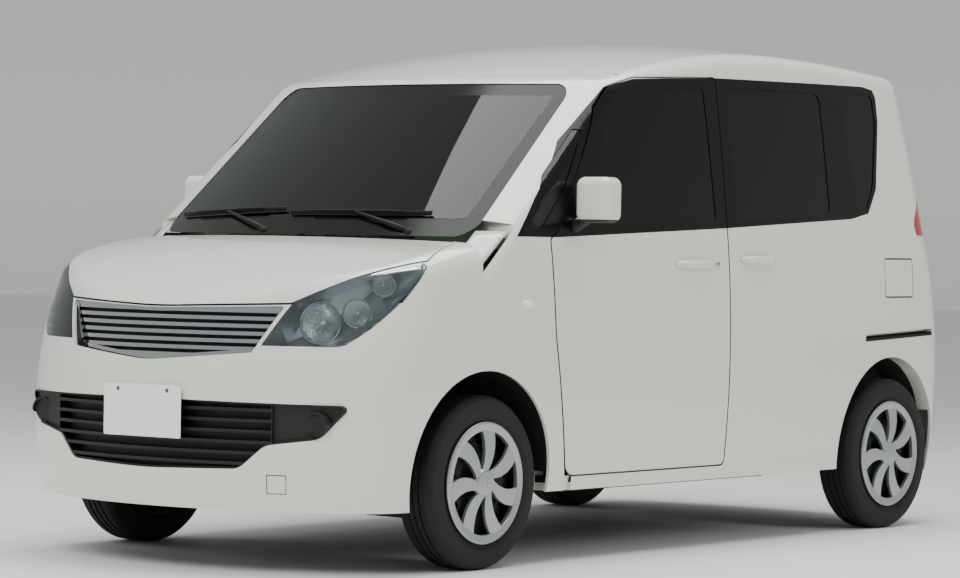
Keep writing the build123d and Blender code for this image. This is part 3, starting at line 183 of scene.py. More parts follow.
def beyond(tree, direction, limit, output="Object"):
    """Mask that is 1 where a coordinate passes a limit along a direction."""
    return maths(tree, "GREATER_THAN", dotted(tree, coordinates(tree, output), direction), limit)


def principled(tree, look):
    """One layer of a material from its look: a table of plain values."""
    base = look.get("linear") or colour(look["colour"])
    rough = look.get("rough", 0.5)
    shader = node(tree, "ShaderNodeBsdfPrincipled", Metallic=look.get("metal", 0.0), Roughness=rough)
    shader.inputs["Base Color"].default_value = base
    shader.inputs["Coat Weight"].default_value = look.get("coat", 0.0)
    shader.inputs["Coat Roughness"].default_value = 0.03
    shader.inputs["Sheen Weight"].default_value = look.get("sheen", 0.0)
    shader.inputs["Specular IOR Level"].default_value = look.get("specular", 0.5)
    place = coordinates(tree)
    if look.get("mottle"):
        amount, scale = look["mottle"]
        grain = node(tree, "ShaderNodeTexNoise", Scale=scale, Detail=4.0)
        tree.links.new(place, grain.inputs["Vector"])
        blend = node(tree, "ShaderNodeMix", data_type="RGBA")
        blend.inputs[6].default_value = base
        blend.inputs[7].default_value = tuple(c * (1 - amount) for c in base[:3]) + (1,)
        tree.links.new(grain.outputs["Fac"], blend.inputs[0])
        tree.links.new(blend.outputs[2], shader.inputs["Base Color"])
        spread = node(tree, "ShaderNodeMapRange")
        spread.inputs["To Min"].default_value = rough * 0.9
        spread.inputs["To Max"].default_value = rough * 1.15
        tree.links.new(grain.outputs["Fac"], spread.inputs["Value"])
        tree.links.new(spread.outputs[0], shader.inputs["Roughness"])
    if look.get("bump"):
        kind, scale, height = look["bump"]
        if kind == "weave":
            waves = []
            for turned in ((1, 1, 0), (0, 1, 1)):
                wave = node(tree, "ShaderNodeTexWave", Scale=scale, Distortion=0.4)
                shift = node(tree, "ShaderNodeMapping")
                shift.inputs["Rotation"].default_value = turned
                tree.links.new(place, shift.inputs["Vector"])
                tree.links.new(shift.outputs[0], wave.inputs["Vector"])
                waves.append(wave.outputs["Fac"])
            texture = maths(tree, "MAXIMUM", *waves)
        elif kind == "tread":
            texture = tread_height(tree, place)
        else:
            pattern = "ShaderNodeTexVoronoi" if kind == "grain" else "ShaderNodeTexNoise"
            grain = node(tree, pattern, Scale=scale)
            tree.links.new(place, grain.inputs["Vector"])
            texture = grain.outputs["Distance" if kind == "grain" else "Fac"]
        relief = node(tree, "ShaderNodeBump", Distance=height, Strength=look.get("strength", 0.6))
        tree.links.new(texture, relief.inputs["Height"])
        tree.links.new(relief.outputs[0], shader.inputs["Normal"])
    return shader.outputs[0]


def tread_height(tree, place):
    """Blocks round a tyre: angle about the nearer axle against distance across it."""
    split = node(tree, "ShaderNodeSeparateXYZ")
    tree.links.new(place, split.inputs[0])
    front = maths(tree, "LESS_THAN", split.outputs["Y"], 0.1)
    axle = maths(tree, "ADD", REAR_AXLE_Y, maths(tree, "MULTIPLY", front, FRONT_AXLE_Y - REAR_AXLE_Y))
    along = maths(tree, "SUBTRACT", split.outputs["Y"], axle)
    up = maths(tree, "SUBTRACT", split.outputs["Z"], WHEEL_Z)
    angle = maths(tree, "ARCTAN2", up, along)
    squares = [maths(tree, "MULTIPLY", part, part) for part in (along, up)]
    radius = maths(tree, "SQRT", maths(tree, "ADD", *squares))
    out = maths(tree, "SUBTRACT", maths(tree, "ABSOLUTE", split.outputs["X"]), TYRE_MIDDLE_X)
    lean = maths(tree, "MULTIPLY", maths(tree, "ABSOLUTE", out), TREAD_LEAN)
    wave = maths(tree, "SINE", maths(tree, "ADD", maths(tree, "MULTIPLY", angle, TREAD_BLOCKS), lean))
    cut = maths(tree, "GREATER_THAN", wave, -0.55)
    outer = maths(tree, "GREATER_THAN", radius, TREAD_RADIUS)
    ribs = maths(tree, "SINE", maths(tree, "MULTIPLY", radius, SIDEWALL_RIBS))
    side = maths(tree, "MULTIPLY", ribs, maths(tree, "SUBTRACT", 1.0, outer))
    return maths(tree, "ADD", maths(tree, "MULTIPLY", cut, outer), maths(tree, "MULTIPLY", side, 0.12))


def finish_of(tree, look):
    """Shader of one look, glass or solid."""
    return glass(tree, look) if look.get("glass") else principled(tree, look)


def layered(name, base, *layers):
    """Material of a base look with looks laid over it where their masks are 1."""
    made = bpy.data.materials.new(name)
    made.use_nodes = True
    tree = made.node_tree
    tree.nodes.clear()
    top = finish_of(tree, base)
    for look, mask in layers:
        mix = node(tree, "ShaderNodeMixShader")
        tree.links.new(mask(tree), mix.inputs[0])
        tree.links.new(top, mix.inputs[1])
        tree.links.new(finish_of(tree, look), mix.inputs[2])
        top = mix.outputs[0]
    tree.links.new(top, node(tree, "ShaderNodeOutputMaterial").inputs["Surface"])
    return made


def glass(tree, look):
    """Thin pane: tinted see-through, with a gloss that grows at grazing angles."""
    clear = node(tree, "ShaderNodeBsdfTransparent")
    clear.inputs[0].default_value = colour(look["glass"])
    gloss = node(tree, "ShaderNodeBsdfGlossy", Roughness=look.get("rough", 0.02))
    gloss.inputs[0].default_value = (0.9, 0.93, 0.92, 1)
    edge = node(tree, "ShaderNodeFresnel", IOR=1.45)
    amount = maths(tree, "MULTIPLY", edge.outputs[0], look.get("shine", 0.9))
    mix = node(tree, "ShaderNodeMixShader")
    tree.links.new(amount, mix.inputs[0])
    tree.links.new(clear.outputs[0], mix.inputs[1])
    tree.links.new(gloss.outputs[0], mix.inputs[2])
    return mix.outputs[0]


# Looks: one table of plain values each, under what the real surface is

# Pearl paint under a glossy lacquer: warm white, soft sheen, sharp highlights
PAINT = dict(colour="#DCDDD5", rough=0.24, coat=1.0, mottle=(0.03, 900.0))
# Gloss black film round the windows: one dark band with dim reflections
BLACKOUT = dict(colour="#0A0B0C", rough=0.18, specular=0.25, mottle=(0.05, 40.0))
# Moulded black plastic, grained: matt, with soft wide highlights
PLASTIC = dict(colour="#17181A", rough=0.55, bump=("grain", 900.0, 0.0003), mottle=(0.15, 60.0))
# Chrome-plated plastic: mirrors the studio
CHROME = dict(colour="#C9CCCF", rough=0.09, metal=1.0, mottle=(0.03, 30.0))
# Vacuum-metallised lamp body: bright and slightly uneven
HOUSING = dict(colour="#E2E5E8", rough=0.22, metal=0.85, bump=("noise", 12.0, 0.002), mottle=(0.05, 30.0))
# Painted shade: near-black colour laid behind the grille's louvres and in the sliding door's rail slot,
# where the deep gaps are in shade
DEEP_GAP_SHADE = dict(colour="#08090A", rough=0.7, mottle=(0.1, 50.0))
# Silver-painted wheel cover: fine metallic grain under lacquer
SILVER = dict(colour="#A9ADB0", rough=0.3, metal=0.7, coat=0.5, mottle=(0.05, 1200.0))
# Painted steel rim behind the cover: dark and dull
RIM_STEEL = dict(colour="#1B1C1E", rough=0.5, metal=0.4, mottle=(0.1, 60.0))
# Tyre rubber with its tread blocks and sidewall ribs: matt and slightly dusty
RUBBER = dict(colour="#1A1A1B", rough=0.78, bump=("tread", 1.0, 0.004), strength=1.0, mottle=(0.2, 90.0))
# Extruded rubber of seals and wiper blades: near black, no shine; also laid as painted shade in the door
# shut lines and in the tow cover's seam
SEAL_AND_SEAM_SHADE = dict(colour="#101112", rough=0.7, mottle=(0.1, 80.0))
# Grained polypropylene of the dashboard: dark grey and matt
TRIM = dict(colour="#4A4B4D", rough=0.65, bump=("grain", 700.0, 0.0003), mottle=(0.08, 30.0))
# Light moulded cloth lining: pale grey beige, quite flat
LINER = dict(colour="#B9B6AD", rough=0.85, sheen=0.3, bump=("noise", 800.0, 0.0004), mottle=(0.06, 40.0))
# Needle-felt floor mat: dark, fuzzy and flecked
CARPET = dict(colour="#2C2D2F", rough=0.95, sheen=0.4, bump=("noise", 1400.0, 0.0015), mottle=(0.25, 400.0))
# Woven seat cloth: grey, with a soft sheen at the edges
CLOTH = dict(colour="#8D8A83", rough=0.9, sheen=0.5, bump=("weave", 420.0, 0.0006), mottle=(0.1, 120.0))
# Bare steel of exhaust, knuckles and bolts: dull grey metal
STEEL = dict(colour="#6F7376", rough=0.42, metal=0.9, mottle=(0.2, 50.0))
# Black-coated underbody steel: dark with a faint shine
CHASSIS = dict(colour="#2A2C2E", rough=0.55, metal=0.2, mottle=(0.2, 25.0))
# Sand-cast alloy of the engine: rough grey metal
CAST = dict(colour="#7A7C7E", rough=0.6, metal=0.7, bump=("noise", 300.0, 0.0008), mottle=(0.2, 60.0))
# Laminated windscreen: clear, slightly green
SCREEN_GLASS = dict(glass="#DDEBE2", shine=1.0)
# Green-tinted tempered glass of the front doors
FRONT_GLASS = dict(glass="#B7CCBE", shine=1.0)
# Dark privacy glass of the rear windows
PRIVACY = dict(glass="#23292A", shine=1.0)
# Clear polycarbonate lens with a strong gloss
LENS = dict(glass="#F3F7F8", shine=1.3)
# Red acrylic lamp lens, finely pebbled
RED_LENS = dict(colour="#A3120F", rough=0.08, coat=1.0, bump=("grain", 220.0, 0.0006), mottle=(0.1, 60.0))
# Clear acrylic lamp lens, finely pebbled
WHITE_LENS = dict(colour="#D9DCDD", rough=0.08, coat=1.0, bump=("grain", 220.0, 0.0006), mottle=(0.1, 60.0))
# Stepped aluminised reflector: bright and broken up
BOWL = dict(colour="#DADDE0", rough=0.06, metal=1.0, bump=("grain", 90.0, 0.0012), strength=0.5)
# Lamp glass of bulbs and repeaters: pale and shiny
BULB = dict(colour="#F4F2E6", rough=0.15, coat=1.0, mottle=(0.02, 20.0))
# Silvered mirror glass
MIRROR = dict(colour="#E6EAEC", rough=0.02, metal=1.0, mottle=(0.01, 10.0))
# Painted sheet of a blank plate: white and smooth
PLATE = dict(colour="#F1F1EC", rough=0.4, coat=0.3, bump=("noise", 60.0, 0.0003), mottle=(0.03, 20.0))
# Painted studio floor: pale and soft
FLOOR = dict(colour="#E4E3E0", rough=0.6, mottle=(0.02, 3.0))


def band_mask(tree):
    """Window band on the outside and on the edges of the panes' seats."""
    return maths(tree, "MULTIPLY", inside(tree, BAND, (1, 2)), outward(tree))


def shut_line_shade_mask(tree):
    """Edges of the doors and of their openings, painted near black as the shade in the deep shut lines."""
    facing = maths(tree, "ABSOLUTE", dotted(tree, coordinates(tree, "Normal"), (1, 0, 0)))
    edge = maths(tree, "LESS_THAN", facing, 0.3)
    return maths(tree, "MULTIPLY", edge, inside(tree, DOORWAY, (1, 2)))


def inner_mask(tree):
    """Faces of a side panel that look into the car."""
    return maths(tree, "SUBTRACT", 1.0, outward(tree))


def cover_mask(tree):
    """Outer face of the wheel covers, on both sides of the car."""
    out = maths(tree, "ABSOLUTE", dotted(tree, coordinates(tree), (1, 0, 0)))
    return maths(tree, "GREATER_THAN", out, COVER_X)


def make_materials(settings):
    """Every material of the scene, by the short name that pieces ask for."""
    paint = dict(PAINT, linear=tuple(settings.paint))
    # Near-black painted shade fills the door shut lines and the sliding door's rail slot on the side panels
    side = layered("body_side", paint, (LINER, inner_mask), (BLACKOUT, band_mask), (SEAL_AND_SEAM_SHADE, shut_line_shade_mask),
                   (DEEP_GAP_SHADE, lambda t: inside(t, RAIL_SLOT, (1, 2))))
    return {
        "side": side,
        "paint": layered("pearl_paint", paint),
        "roof": layered("roof_paint", paint, (LINER, lambda t: beyond(t, (0, 0, -1), 0.3, "Normal"))),
        "gate": layered("gate_paint", paint, (LINER, lambda t: beyond(t, (0, -1, 0), 0.4, "Normal"))),
        "plastic": layered("black_plastic", PLASTIC),
        "chrome": layered("chrome", CHROME),
        # Chrome grille with painted shade on its backing behind the louvres
        "grille": layered("grille_chrome", CHROME, (DEEP_GAP_SHADE, grille_gap_shade_mask)),
        "cover": layered("wheel_cover", RIM_STEEL, (SILVER, cover_mask)),
        "rubber": layered("tyre_rubber", RUBBER),
        "seal": layered("seal_rubber_and_seam_shade", SEAL_AND_SEAM_SHADE),
        "trim": layered("dash_trim", TRIM),
        "floor_pan": layered("floor_pan", CHASSIS, (CARPET, lambda t: beyond(t, (0, 0, 1), 0.5, "Normal"))),
        "chassis": layered("chassis_steel", CHASSIS),
        "steel": layered("bare_steel", STEEL),
        "cast": layered("cast_alloy", CAST),
        "cloth": layered("seat_cloth", CLOTH),
        "screen": layered("screen_glass", SCREEN_GLASS,
                          (BLACKOUT, lambda t: inside(t, SCREEN, (0, 2), True))),
        "front_glass": layered("front_glass", FRONT_GLASS),
        "privacy": layered("privacy_glass", PRIVACY),
        "hatch": layered("hatch_glass", PRIVACY,
                         (BLACKOUT, lambda t: inside(t, HATCH_GLASS, (0, 2), True))),
        "lens": layered("lamp_lens", LENS),
        "tail": layered("tail_lens", RED_LENS, (WHITE_LENS, lambda t: beyond(t, (0, 0, -1), -TAIL_SPLIT_Z))),
        "bowl": layered("lamp_bowl", BOWL),
        "bulb": layered("lamp_bulb", BULB),
        "housing": layered("lamp_housing", HOUSING),
        "mirror": layered("mirror_glass", MIRROR),
        "mirror_case": layered("mirror_case", paint,
                               (PLASTIC, lambda t: beyond(t, (0, 0, -1), -MIRROR_FOOT_Z))),
        "plate": layered("blank_plate", PLATE),
        "stage": layered("studio_floor", FLOOR),
    }


def grille_gap_shade_mask(tree):
    """1 behind the louvres, on the grille's backing, which is painted near black there as the shade of the
    deep gaps.
    """
    split = node(tree, "ShaderNodeSeparateXYZ")
    tree.links.new(coordinates(tree), split.inputs[0])
    x, y, z = (split.outputs[a] for a in "XYZ")
    bow = maths(tree, "MULTIPLY", maths(tree, "MULTIPLY", x, x), GRILLE_BOW)
    lean = maths(tree, "MULTIPLY", maths(tree, "SUBTRACT", z, GRILLE_Z), GRILLE_LEAN)
    face = maths(tree, "ADD", maths(tree, "ADD", bow, lean), GRILLE_Y)
    return maths(tree, "GREATER_THAN", y, maths(tree, "ADD", face, LOUVRE_DEPTH))


DRESS = {
    "side": ["bodyside_left", "bodyside_right", "sliding_door_left", "sliding_door_right", "front_door_left",
             "front_door_right"],
    "roof": ["roof_panel"],
    "gate": ["tailgate"],
    "paint": ["front_fenders", "hood", "front_bumper", "rear_bumper", "fuel_flap"],
    "plastic": ["bumper_grille", "cowl_panel", "front_liners", "fuel_tank"],
    "grille": ["radiator_grille"],
    "housing": ["headlamps"],
    "lens": ["headlamp_lenses"],
    "tail": ["tail_lamps"],
    "screen": ["windshield"],
    "privacy": ["fixed_side_glass"],
    "hatch": ["tailgate_glass"],
    "front_glass": ["front_door_glass_left", "front_door_glass_right"],
    "mirror_case": ["door_mirror_left", "door_mirror_right"],
    "trim": ["dashboard", "steering_wheel"],
    "floor_pan": ["floorpan"],
    "chassis": ["front_structure", "front_suspension", "rear_axle"],
    "steel": ["exhaust", "knuckle_left", "knuckle_right"],
    "cast": ["engine"],
    "cloth": ["front_seats", "rear_bench"],
    "cover": ["wheel_front_left", "wheel_front_right", "wheel_rear_left", "wheel_rear_right"],
    "rubber": ["tyre_front_left", "tyre_front_right", "tyre_rear_left", "tyre_rear_right"],
}
MATERIALS = {}


def dress_nodes(settings):
    """Give every CAD node its material."""
    MATERIALS.update(make_materials(settings))
    for key, names in DRESS.items():
        for name in names:
            data = NODES[name].data
            if not data.materials:
                data.materials.append(MATERIALS[key])
            for index in range(len(data.materials)):
                data.materials[index] = MATERIALS[key]


# Mesh helpers

def piece(name, mesh, body, material, subdivide=0, bevel=0.0, smooth=True):
    """Finished object from a bmesh: faces outward, dressed, and riding on a body."""
    bmesh.ops.recalc_face_normals(mesh, faces=mesh.faces)
    data = bpy.data.meshes.new(name)
    mesh.to_mesh(data)
    mesh.free()
    for face in data.polygons:
        face.use_smooth = smooth
    made = bpy.data.objects.new(name, data)
    bpy.context.scene.collection.objects.link(made)
    data.materials.append(MATERIALS[material])
    if bevel:
        rim = made.modifiers.new("edges", "BEVEL")
        rim.width = bevel
        rim.segments = 3
        rim.limit_method = "ANGLE"
        made.modifiers.new("shading", "WEIGHTED_NORMAL")
    if subdivide:
        made.modifiers.new("smooth", "SUBSURF").levels = subdivide
        made.modifiers["smooth"].render_levels = subdivide
    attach(made, body)
    return made


def block(mesh, low, high, matrix=None):
    """Box between two corners, added to a bmesh."""
    size = [h - l for l, h in zip(low, high)]
    middle = [(h + l) / 2 for l, h in zip(low, high)]
    place = Matrix.Translation(middle) @ Matrix.Diagonal((*size, 1))
    return bmesh.ops.create_cube(mesh, size=1.0, matrix=matrix @ place if matrix else place)["verts"]


def skin(mesh, rings, closed=True, caps=True):
    """Faces between rows of points, each row a loop unless closed is False."""
    made = [[mesh.verts.new(p) for p in ring] for ring in rings]
    for one, two in zip(made, made[1:]):
        count = len(one)
        for i in range(count if closed else count - 1):
            j = (i + 1) % count
            mesh.faces.new((one[i], one[j], two[j], two[i]))
    if caps and closed:
        mesh.faces.new(list(reversed(made[0])))
        mesh.faces.new(made[-1])
    return made


def tube(mesh, points, radii, flat=1.0, up=Vector((0, 0, 1)), sides=12):
    """Bar of oval section through the points; radii may change along it."""
    rings = []
    for i, point in enumerate(points):
        ahead = points[min(i + 1, len(points) - 1)] - points[max(i - 1, 0)]
        ahead.normalize()
        across = ahead.cross(up).normalized()
        rise = across.cross(ahead).normalized()
        radius = radii[i] if isinstance(radii, (list, tuple)) else radii
        turns = [2 * pi * k / sides for k in range(sides)]
        rings.append([point + across * radius * flat * cos(t) + rise * radius * sin(t) for t in turns])
    skin(mesh, rings)


def turned(mesh, profile, matrix, segments=48, caps=False):
    """Lathe profile (radius, height) about the local Z axis of a matrix."""
    turns = [2 * pi * k / segments for k in range(segments)]
    rings = [[matrix @ Vector((radius * cos(t), radius * sin(t), height)) for t in turns]
             for radius, height in profile]
    skin(mesh, rings, caps=caps)


def touch(node_name, start, direction):
    """Point and normal where a ray first meets a CAD node."""
    found, place, normal, _ = NODES[node_name].ray_cast(Vector(start), Vector(direction).normalized())
    if not found:
        raise ValueError("no surface of " + node_name + " at " + str(start))
    return place, normal


def facing(place, normal, up=(0, 0, 1)):
    """Matrix whose Z axis leaves the surface at a place."""
    z = Vector(normal).normalized()
    x = Vector(up).cross(z).normalized()
    y = z.cross(x)
    return Matrix.Translation(place) @ Matrix((x, y, z)).transposed().to_4x4()


# Fittings

def make_handles(settings):
    """Body-colour pull handles over oval cups, on all four side doors."""
    rows = (
        # node, y and z of the handle's middle, length
        ("front_door", 0.028, 0.978, settings.handle_length),
        ("sliding_door", 0.417, 0.995, settings.handle_length - 0.012),
    )
    for node_name, y, z, length in rows:
        for side, sign in SIDES:
            name = node_name + "_" + side
            body = name if node_name == "front_door" else "body"
            bar = bmesh.new()
            points = []
            steps = 16
            for i in range(steps + 1):
                t = i / steps
                place, _ = touch(name, (sign * SIDE_OUT, y - length / 2 + length * t, z), (-sign, 0, 0))
                lift = 0.004 + 0.021 * min(1.0, 4 * t, 4 * (1 - t)) ** 0.8
                points.append(place + Vector((sign * lift, 0, 0)))
            radii = [0.008 + 0.006 * min(1.0, 5 * i / steps, 5 * (1 - i / steps)) for i in range(steps + 1)]
            tube(bar, points, radii, flat=0.62)
            piece(name + "_handle", bar, body, "paint", subdivide=1)
            cup = bmesh.new()
            rings = []
            for depth, size in ((0.0008, 1.0), (0.0015, 0.93), (-0.0002, 0.8)):
                ring = []
                for k in range(32):
                    angle = 2 * pi * k / 32
                    dy, dz = 0.062 * size * cos(angle), 0.034 * size * sin(angle)
                    place, _ = touch(name, (sign * SIDE_OUT, y + 0.01 + dy, z - 0.004 + dz), (-sign, 0, 0))
                    ring.append(place + Vector((sign * depth, 0, 0)))
                rings.append(ring)
            skin(cup, rings, caps=False)
            piece(name + "_handle_cup", cup, body, "paint")
            if node_name == "front_door":
                place, normal = touch(name, (sign * SIDE_OUT, y + length / 2 + 0.022, z), (-sign, 0, 0))
                lock = bmesh.new()
                profile = [(0.0, 0.004), (0.009, 0.004), (0.0105, 0.002), (0.0105, 0.0)]
                turned(lock, profile, facing(place, normal), 24)
                piece(name + "_key_cylinder", lock, body, "chrome")


def make_repeaters():
    """Small oval lamps on the front fenders."""
    for side, sign in SIDES:
        place, normal = touch("front_fenders", (sign * SIDE_OUT, -0.905, 0.846), (-sign, 0, 0))
        lens = bmesh.new()
        profile = [(0.0, 0.009), (0.4, 0.0085), (0.75, 0.006), (0.95, 0.002), (1.0, 0.0)]
        turned(lens, profile, facing(place, normal) @ Matrix.Diagonal((0.032, 0.014, 1, 1)), 32)
        piece("repeater_" + side, lens, "body", "bulb")


def make_plates(settings):
    """Blank plates: front over the intake's upper edge, rear on the tailgate."""
    width, height = settings.plate_width, settings.plate_height
    rear, normal = touch("tailgate", (0.0, START_OUT, 0.905), (0, -1, 0))
    rows = (
        # name, middle, direction it faces, body
        ("plate_front", Vector((0, -1.8536, 0.499)), Vector((0, -1, 0)), "body"),
        ("plate_rear", rear + normal * 0.003, normal, "tailgate"),
    )
    for name, place, normal, body in rows:
        at = facing(place, normal)
        sheet = bmesh.new()
        block(sheet, (-width / 2, -height / 2, 0), (width / 2, height / 2, 0.001), at)
        right, top, rim = width / 2, height / 2, 0.004
        for low, high in (((-right, top - rim), (right, top)), ((-right, -top), (right, rim - top)),
                          ((-right, -top), (rim - right, top)), ((right - rim, -top), (right, top))):
            block(sheet, (*low, 0.0005), (*high, 0.0014), at)
        piece(name, sheet, body, "plate", bevel=0.0003, smooth=False)
        for x in (-0.105, 0.105):
            bolt = bmesh.new()
            turned(bolt, [(0.0, 0.0014), (0.006, 0.0013), (0.007, 0.001), (0.007, 0.0)],
                   at @ Matrix.Translation((x, height / 2 - 0.018, 0)), 20)
            piece(name + ("_bolt_a" if x < 0 else "_bolt_b"), bolt, body, "steel")


def make_wipers():
    """Two wipers lying along the foot of the windscreen."""
    rows = (
        # name, blade from x to x, x of the pivot
        ("wiper_driver", -0.60, -0.06, -0.10),
        ("wiper_passenger", -0.02, 0.50, 0.46),
    )
    for name, x0, x1, pivot in rows:
        blade = bmesh.new()
        points = []
        for i in range(13):
            x = x0 + (x1 - x0) * i / 12
            z = 1.125 + 0.012 * i / 12 - 0.02 * abs(x)
            place, normal = touch("windshield", (x, -START_OUT, z), (0, 1, 0))
            points.append(place + normal * 0.009)
        tube(blade, points, 0.0075, flat=0.55)
        tube(blade, [p + Vector((0, -0.004, 0.005)) for p in points[2:-2]], 0.004)
        piece(name + "_blade", blade, "body", "seal")
        arm = bmesh.new()
        middle = points[6]
        low, _ = touch("windshield", (pivot, -START_OUT, 1.085), (0, 1, 0))
        foot = low + Vector((0, -0.012, -0.014))
        bend = foot.lerp(middle, 0.3) + Vector((0, -0.012, 0.006))
        far = foot.lerp(middle, 0.7) + Vector((0, -0.009, 0.004))
        tip = middle + Vector((0, -0.006, 0.003))
        tube(arm, [foot, bend, far, tip], [0.013, 0.010, 0.006, 0.005], flat=0.8)
        cap = [(0.0, 0.012), (0.012, 0.010), (0.014, 0.0), (0.014, -0.012)]
        turned(arm, cap, Matrix.Translation(foot), 20)
        piece(name + "_arm", arm, "body", "plastic")


# Faces of the housing nearer to the lens than this are its front, and are opened
LENS_GAP = 0.0018

LAMP_BOWLS = (
    # name, x, z, radius, depth, turn towards the side in degrees
    ("main", 0.556, 0.786, 0.060, 0.052, 24),
    ("outer", 0.655, 0.818, 0.040, 0.036, 38),
    ("signal", 0.700, 0.905, 0.030, 0.030, 44),
)


def make_headlamps():
    """Open lamp housings behind the clear lenses, with reflector bowls and bulbs."""
    core = NODES["headlamps"]
    shell = bmesh.new()
    shell.from_mesh(core.data)
    bmesh.ops.remove_doubles(shell, verts=shell.verts, dist=0.00002)
    lens = NODES["headlamp_lenses"]
    front = []
    for face in shell.faces:
        middle = face.calc_center_median()
        found, place, _, _ = lens.closest_point_on_mesh(middle)
        looks_out = face.normal.dot(Vector((middle.x * 0.9, -0.8, 0.3))) > 0.1
        if found and looks_out and (place - middle).length < LENS_GAP:
            front.append(face)
    bmesh.ops.delete(shell, geom=front, context="FACES")
    data = bpy.data.meshes.new("lamp_housings")
    shell.to_mesh(data)
    shell.free()
    made = bpy.data.objects.new("lamp_housings", data)
    bpy.context.scene.collection.objects.link(made)
    data.materials.append(MATERIALS["housing"])
    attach(made, "body")
    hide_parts("headlamps")
    for side, sign in SIDES:
        for name, x, z, radius, depth, turn in LAMP_BOWLS:
            place, _ = touch("headlamp_lenses", (sign * x, -START_OUT, z), (0, 1, 0))
            look = Vector((sign * sin(radians(turn)), -cos(radians(turn)), 0.05)).normalized()
            at = facing(place - look * (0.018 + 0.3 * radius), look)
            bowl = bmesh.new()
            profile = []
            for i in range(9):
                r = radius * (1 - i / 8 * 0.86)
                profile.append((r, -depth * (1 - (r / radius) ** 2)))
            outer = [(r + 0.002, h - 0.002) for r, h in reversed(profile)]
            turned(bowl, profile + outer + [(radius + 0.003, 0.001), (radius, 0.0)], at, 40)
            piece("lamp_" + name + "_bowl_" + side, bowl, "body", "bowl")
            bulb = bmesh.new()
            tip = [(0.0, -0.35 * depth), (0.10 * radius, -0.4 * depth), (0.14 * radius, -0.6 * depth),
                   (0.14 * radius, -depth)]
            turned(bulb, tip, at, 20)
            piece("lamp_" + name + "_bulb_" + side, bulb, "body", "bulb")
            ring = bmesh.new()
            section = ((0.0, 0.0), (0.001, 0.004), (0.006, 0.005), (0.008, 0.0), (0.006, -0.008), (0.0, 0.0))
            turned(ring, [(radius + out, height) for out, height in section], at, 40)
            piece("lamp_" + name + "_ring_" + side, ring, "body", "chrome")


def make_mirror_panes():
    """Rounded panes on the back of each door mirror."""
    for side, sign in SIDES:
        _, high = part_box("door_mirror_" + side)
        middle = Vector((sign * 0.868, high.y - 0.0006, 1.186))
        pane = bmesh.new()
        rings = []
        for size, lift in ((1.0, 0.0), (0.96, 0.0016), (0.5, 0.0018)):
            ring = []
            for k in range(48):
                angle = 2 * pi * k / 48
                c, s = cos(angle), sin(angle)
                x = 0.050 * size * abs(c) ** 0.5 * (1 if c > 0 else -1)
                z = 0.056 * size * abs(s) ** 0.5 * (1 if s > 0 else -1)
                ring.append(middle + Vector((x, lift - 0.0012, z)))
            rings.append(ring)
        made = skin(pane, rings, caps=False)
        pane.faces.new(made[-1])
        piece("mirror_pane_" + side, pane, "front_door_" + side, "mirror", smooth=False)


SEATS = (
    # name, node it stands for, x, y, width, z of the cushion and of the floor, x of each head rest
    ("driver_seat", "front_seats", -0.34, -0.06, 0.50, 0.43, FRONT_FLOOR_Z, (-0.34,)),
    ("passenger_seat", "front_seats", 0.34, -0.06, 0.50, 0.43, FRONT_FLOOR_Z, (0.34,)),
    ("rear_seat", "rear_bench", 0.0, 0.88, 1.14, 0.54, REAR_FLOOR_Z, (-0.36, 0.36)),
)


def pad(mesh, size, matrix, crown=0.12):
    """Crowned cushion: a box whose faces swell and whose sides pull in between corners."""
    made = bmesh.ops.create_cube(mesh, size=1.0)["verts"]
    edges = {e for v in made for e in v.link_edges}
    bmesh.ops.subdivide_edges(mesh, edges=list(edges), cuts=9, use_grid_fill=True)
    for vert in mesh.verts:
        if not vert.tag:
            vert.tag = True
            x, y, z = (2 * c for c in vert.co)
            swell = (1 - x * x) * (1 - y * y)
            seam = 0.035 * max(0.0, 1 - abs(abs(x) - 0.62) / 0.05)
            corner = 1 - 0.10 * (max(0.0, abs(x) - 0.75) + max(0.0, abs(y) - 0.75)) * 2
            local = Vector((x / 2 * size[0] * (1 - 0.03 * y * y), y / 2 * size[1] * (1 - 0.03 * x * x),
                            z / 2 * size[2] * corner * (1 + crown * swell - seam)))
            vert.co = matrix @ local


def cloth_pad(name, size, place, turn=Matrix.Identity(4)):
    """One padded piece of a seat, in its place on the body."""
    mesh = bmesh.new()
    pad(mesh, size, Matrix.Translation(place) @ turn)
    made = piece(name, mesh, "body", "cloth", subdivide=1)
    return made


def make_seats():
    """Cloth seats with crowned cushions, backs and head rests."""
    upright = Matrix.Rotation(radians(-18), 4, "X") @ Matrix.Rotation(radians(90), 4, "X")
    for name, stands_for, x, y, width, low, floor, heads in SEATS:
        cushion = cloth_pad(name + "_cushion", (width, 0.50, 0.15), (x, y, low + 0.06))
        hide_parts(stands_for)
        cloth_pad(name + "_back", (width, 0.60, 0.11), (x, y + 0.25, low + 0.40), upright)
        for index, middle in enumerate(heads):
            rest_name = name + "_head_rest_" + str(index)
            cloth_pad(rest_name, (0.26, 0.17, 0.09), (middle, y + 0.36, low + 0.76), upright)
            posts = bmesh.new()
            for post in (middle - 0.06, middle + 0.06):
                ends = [Vector((post, y + 0.34, low + 0.62)), Vector((post, y + 0.36, low + 0.74))]
                tube(posts, ends, 0.006, up=Vector((0, 1, 0)))
            piece(name + "_rest_posts_" + str(index), posts, "body", "steel")
        base = bmesh.new()
        block(base, (x - width * 0.42, y - 0.19, floor), (x + width * 0.42, y + 0.19, low - 0.01))
        piece(name + "_base", base, "body", "trim", bevel=0.012)


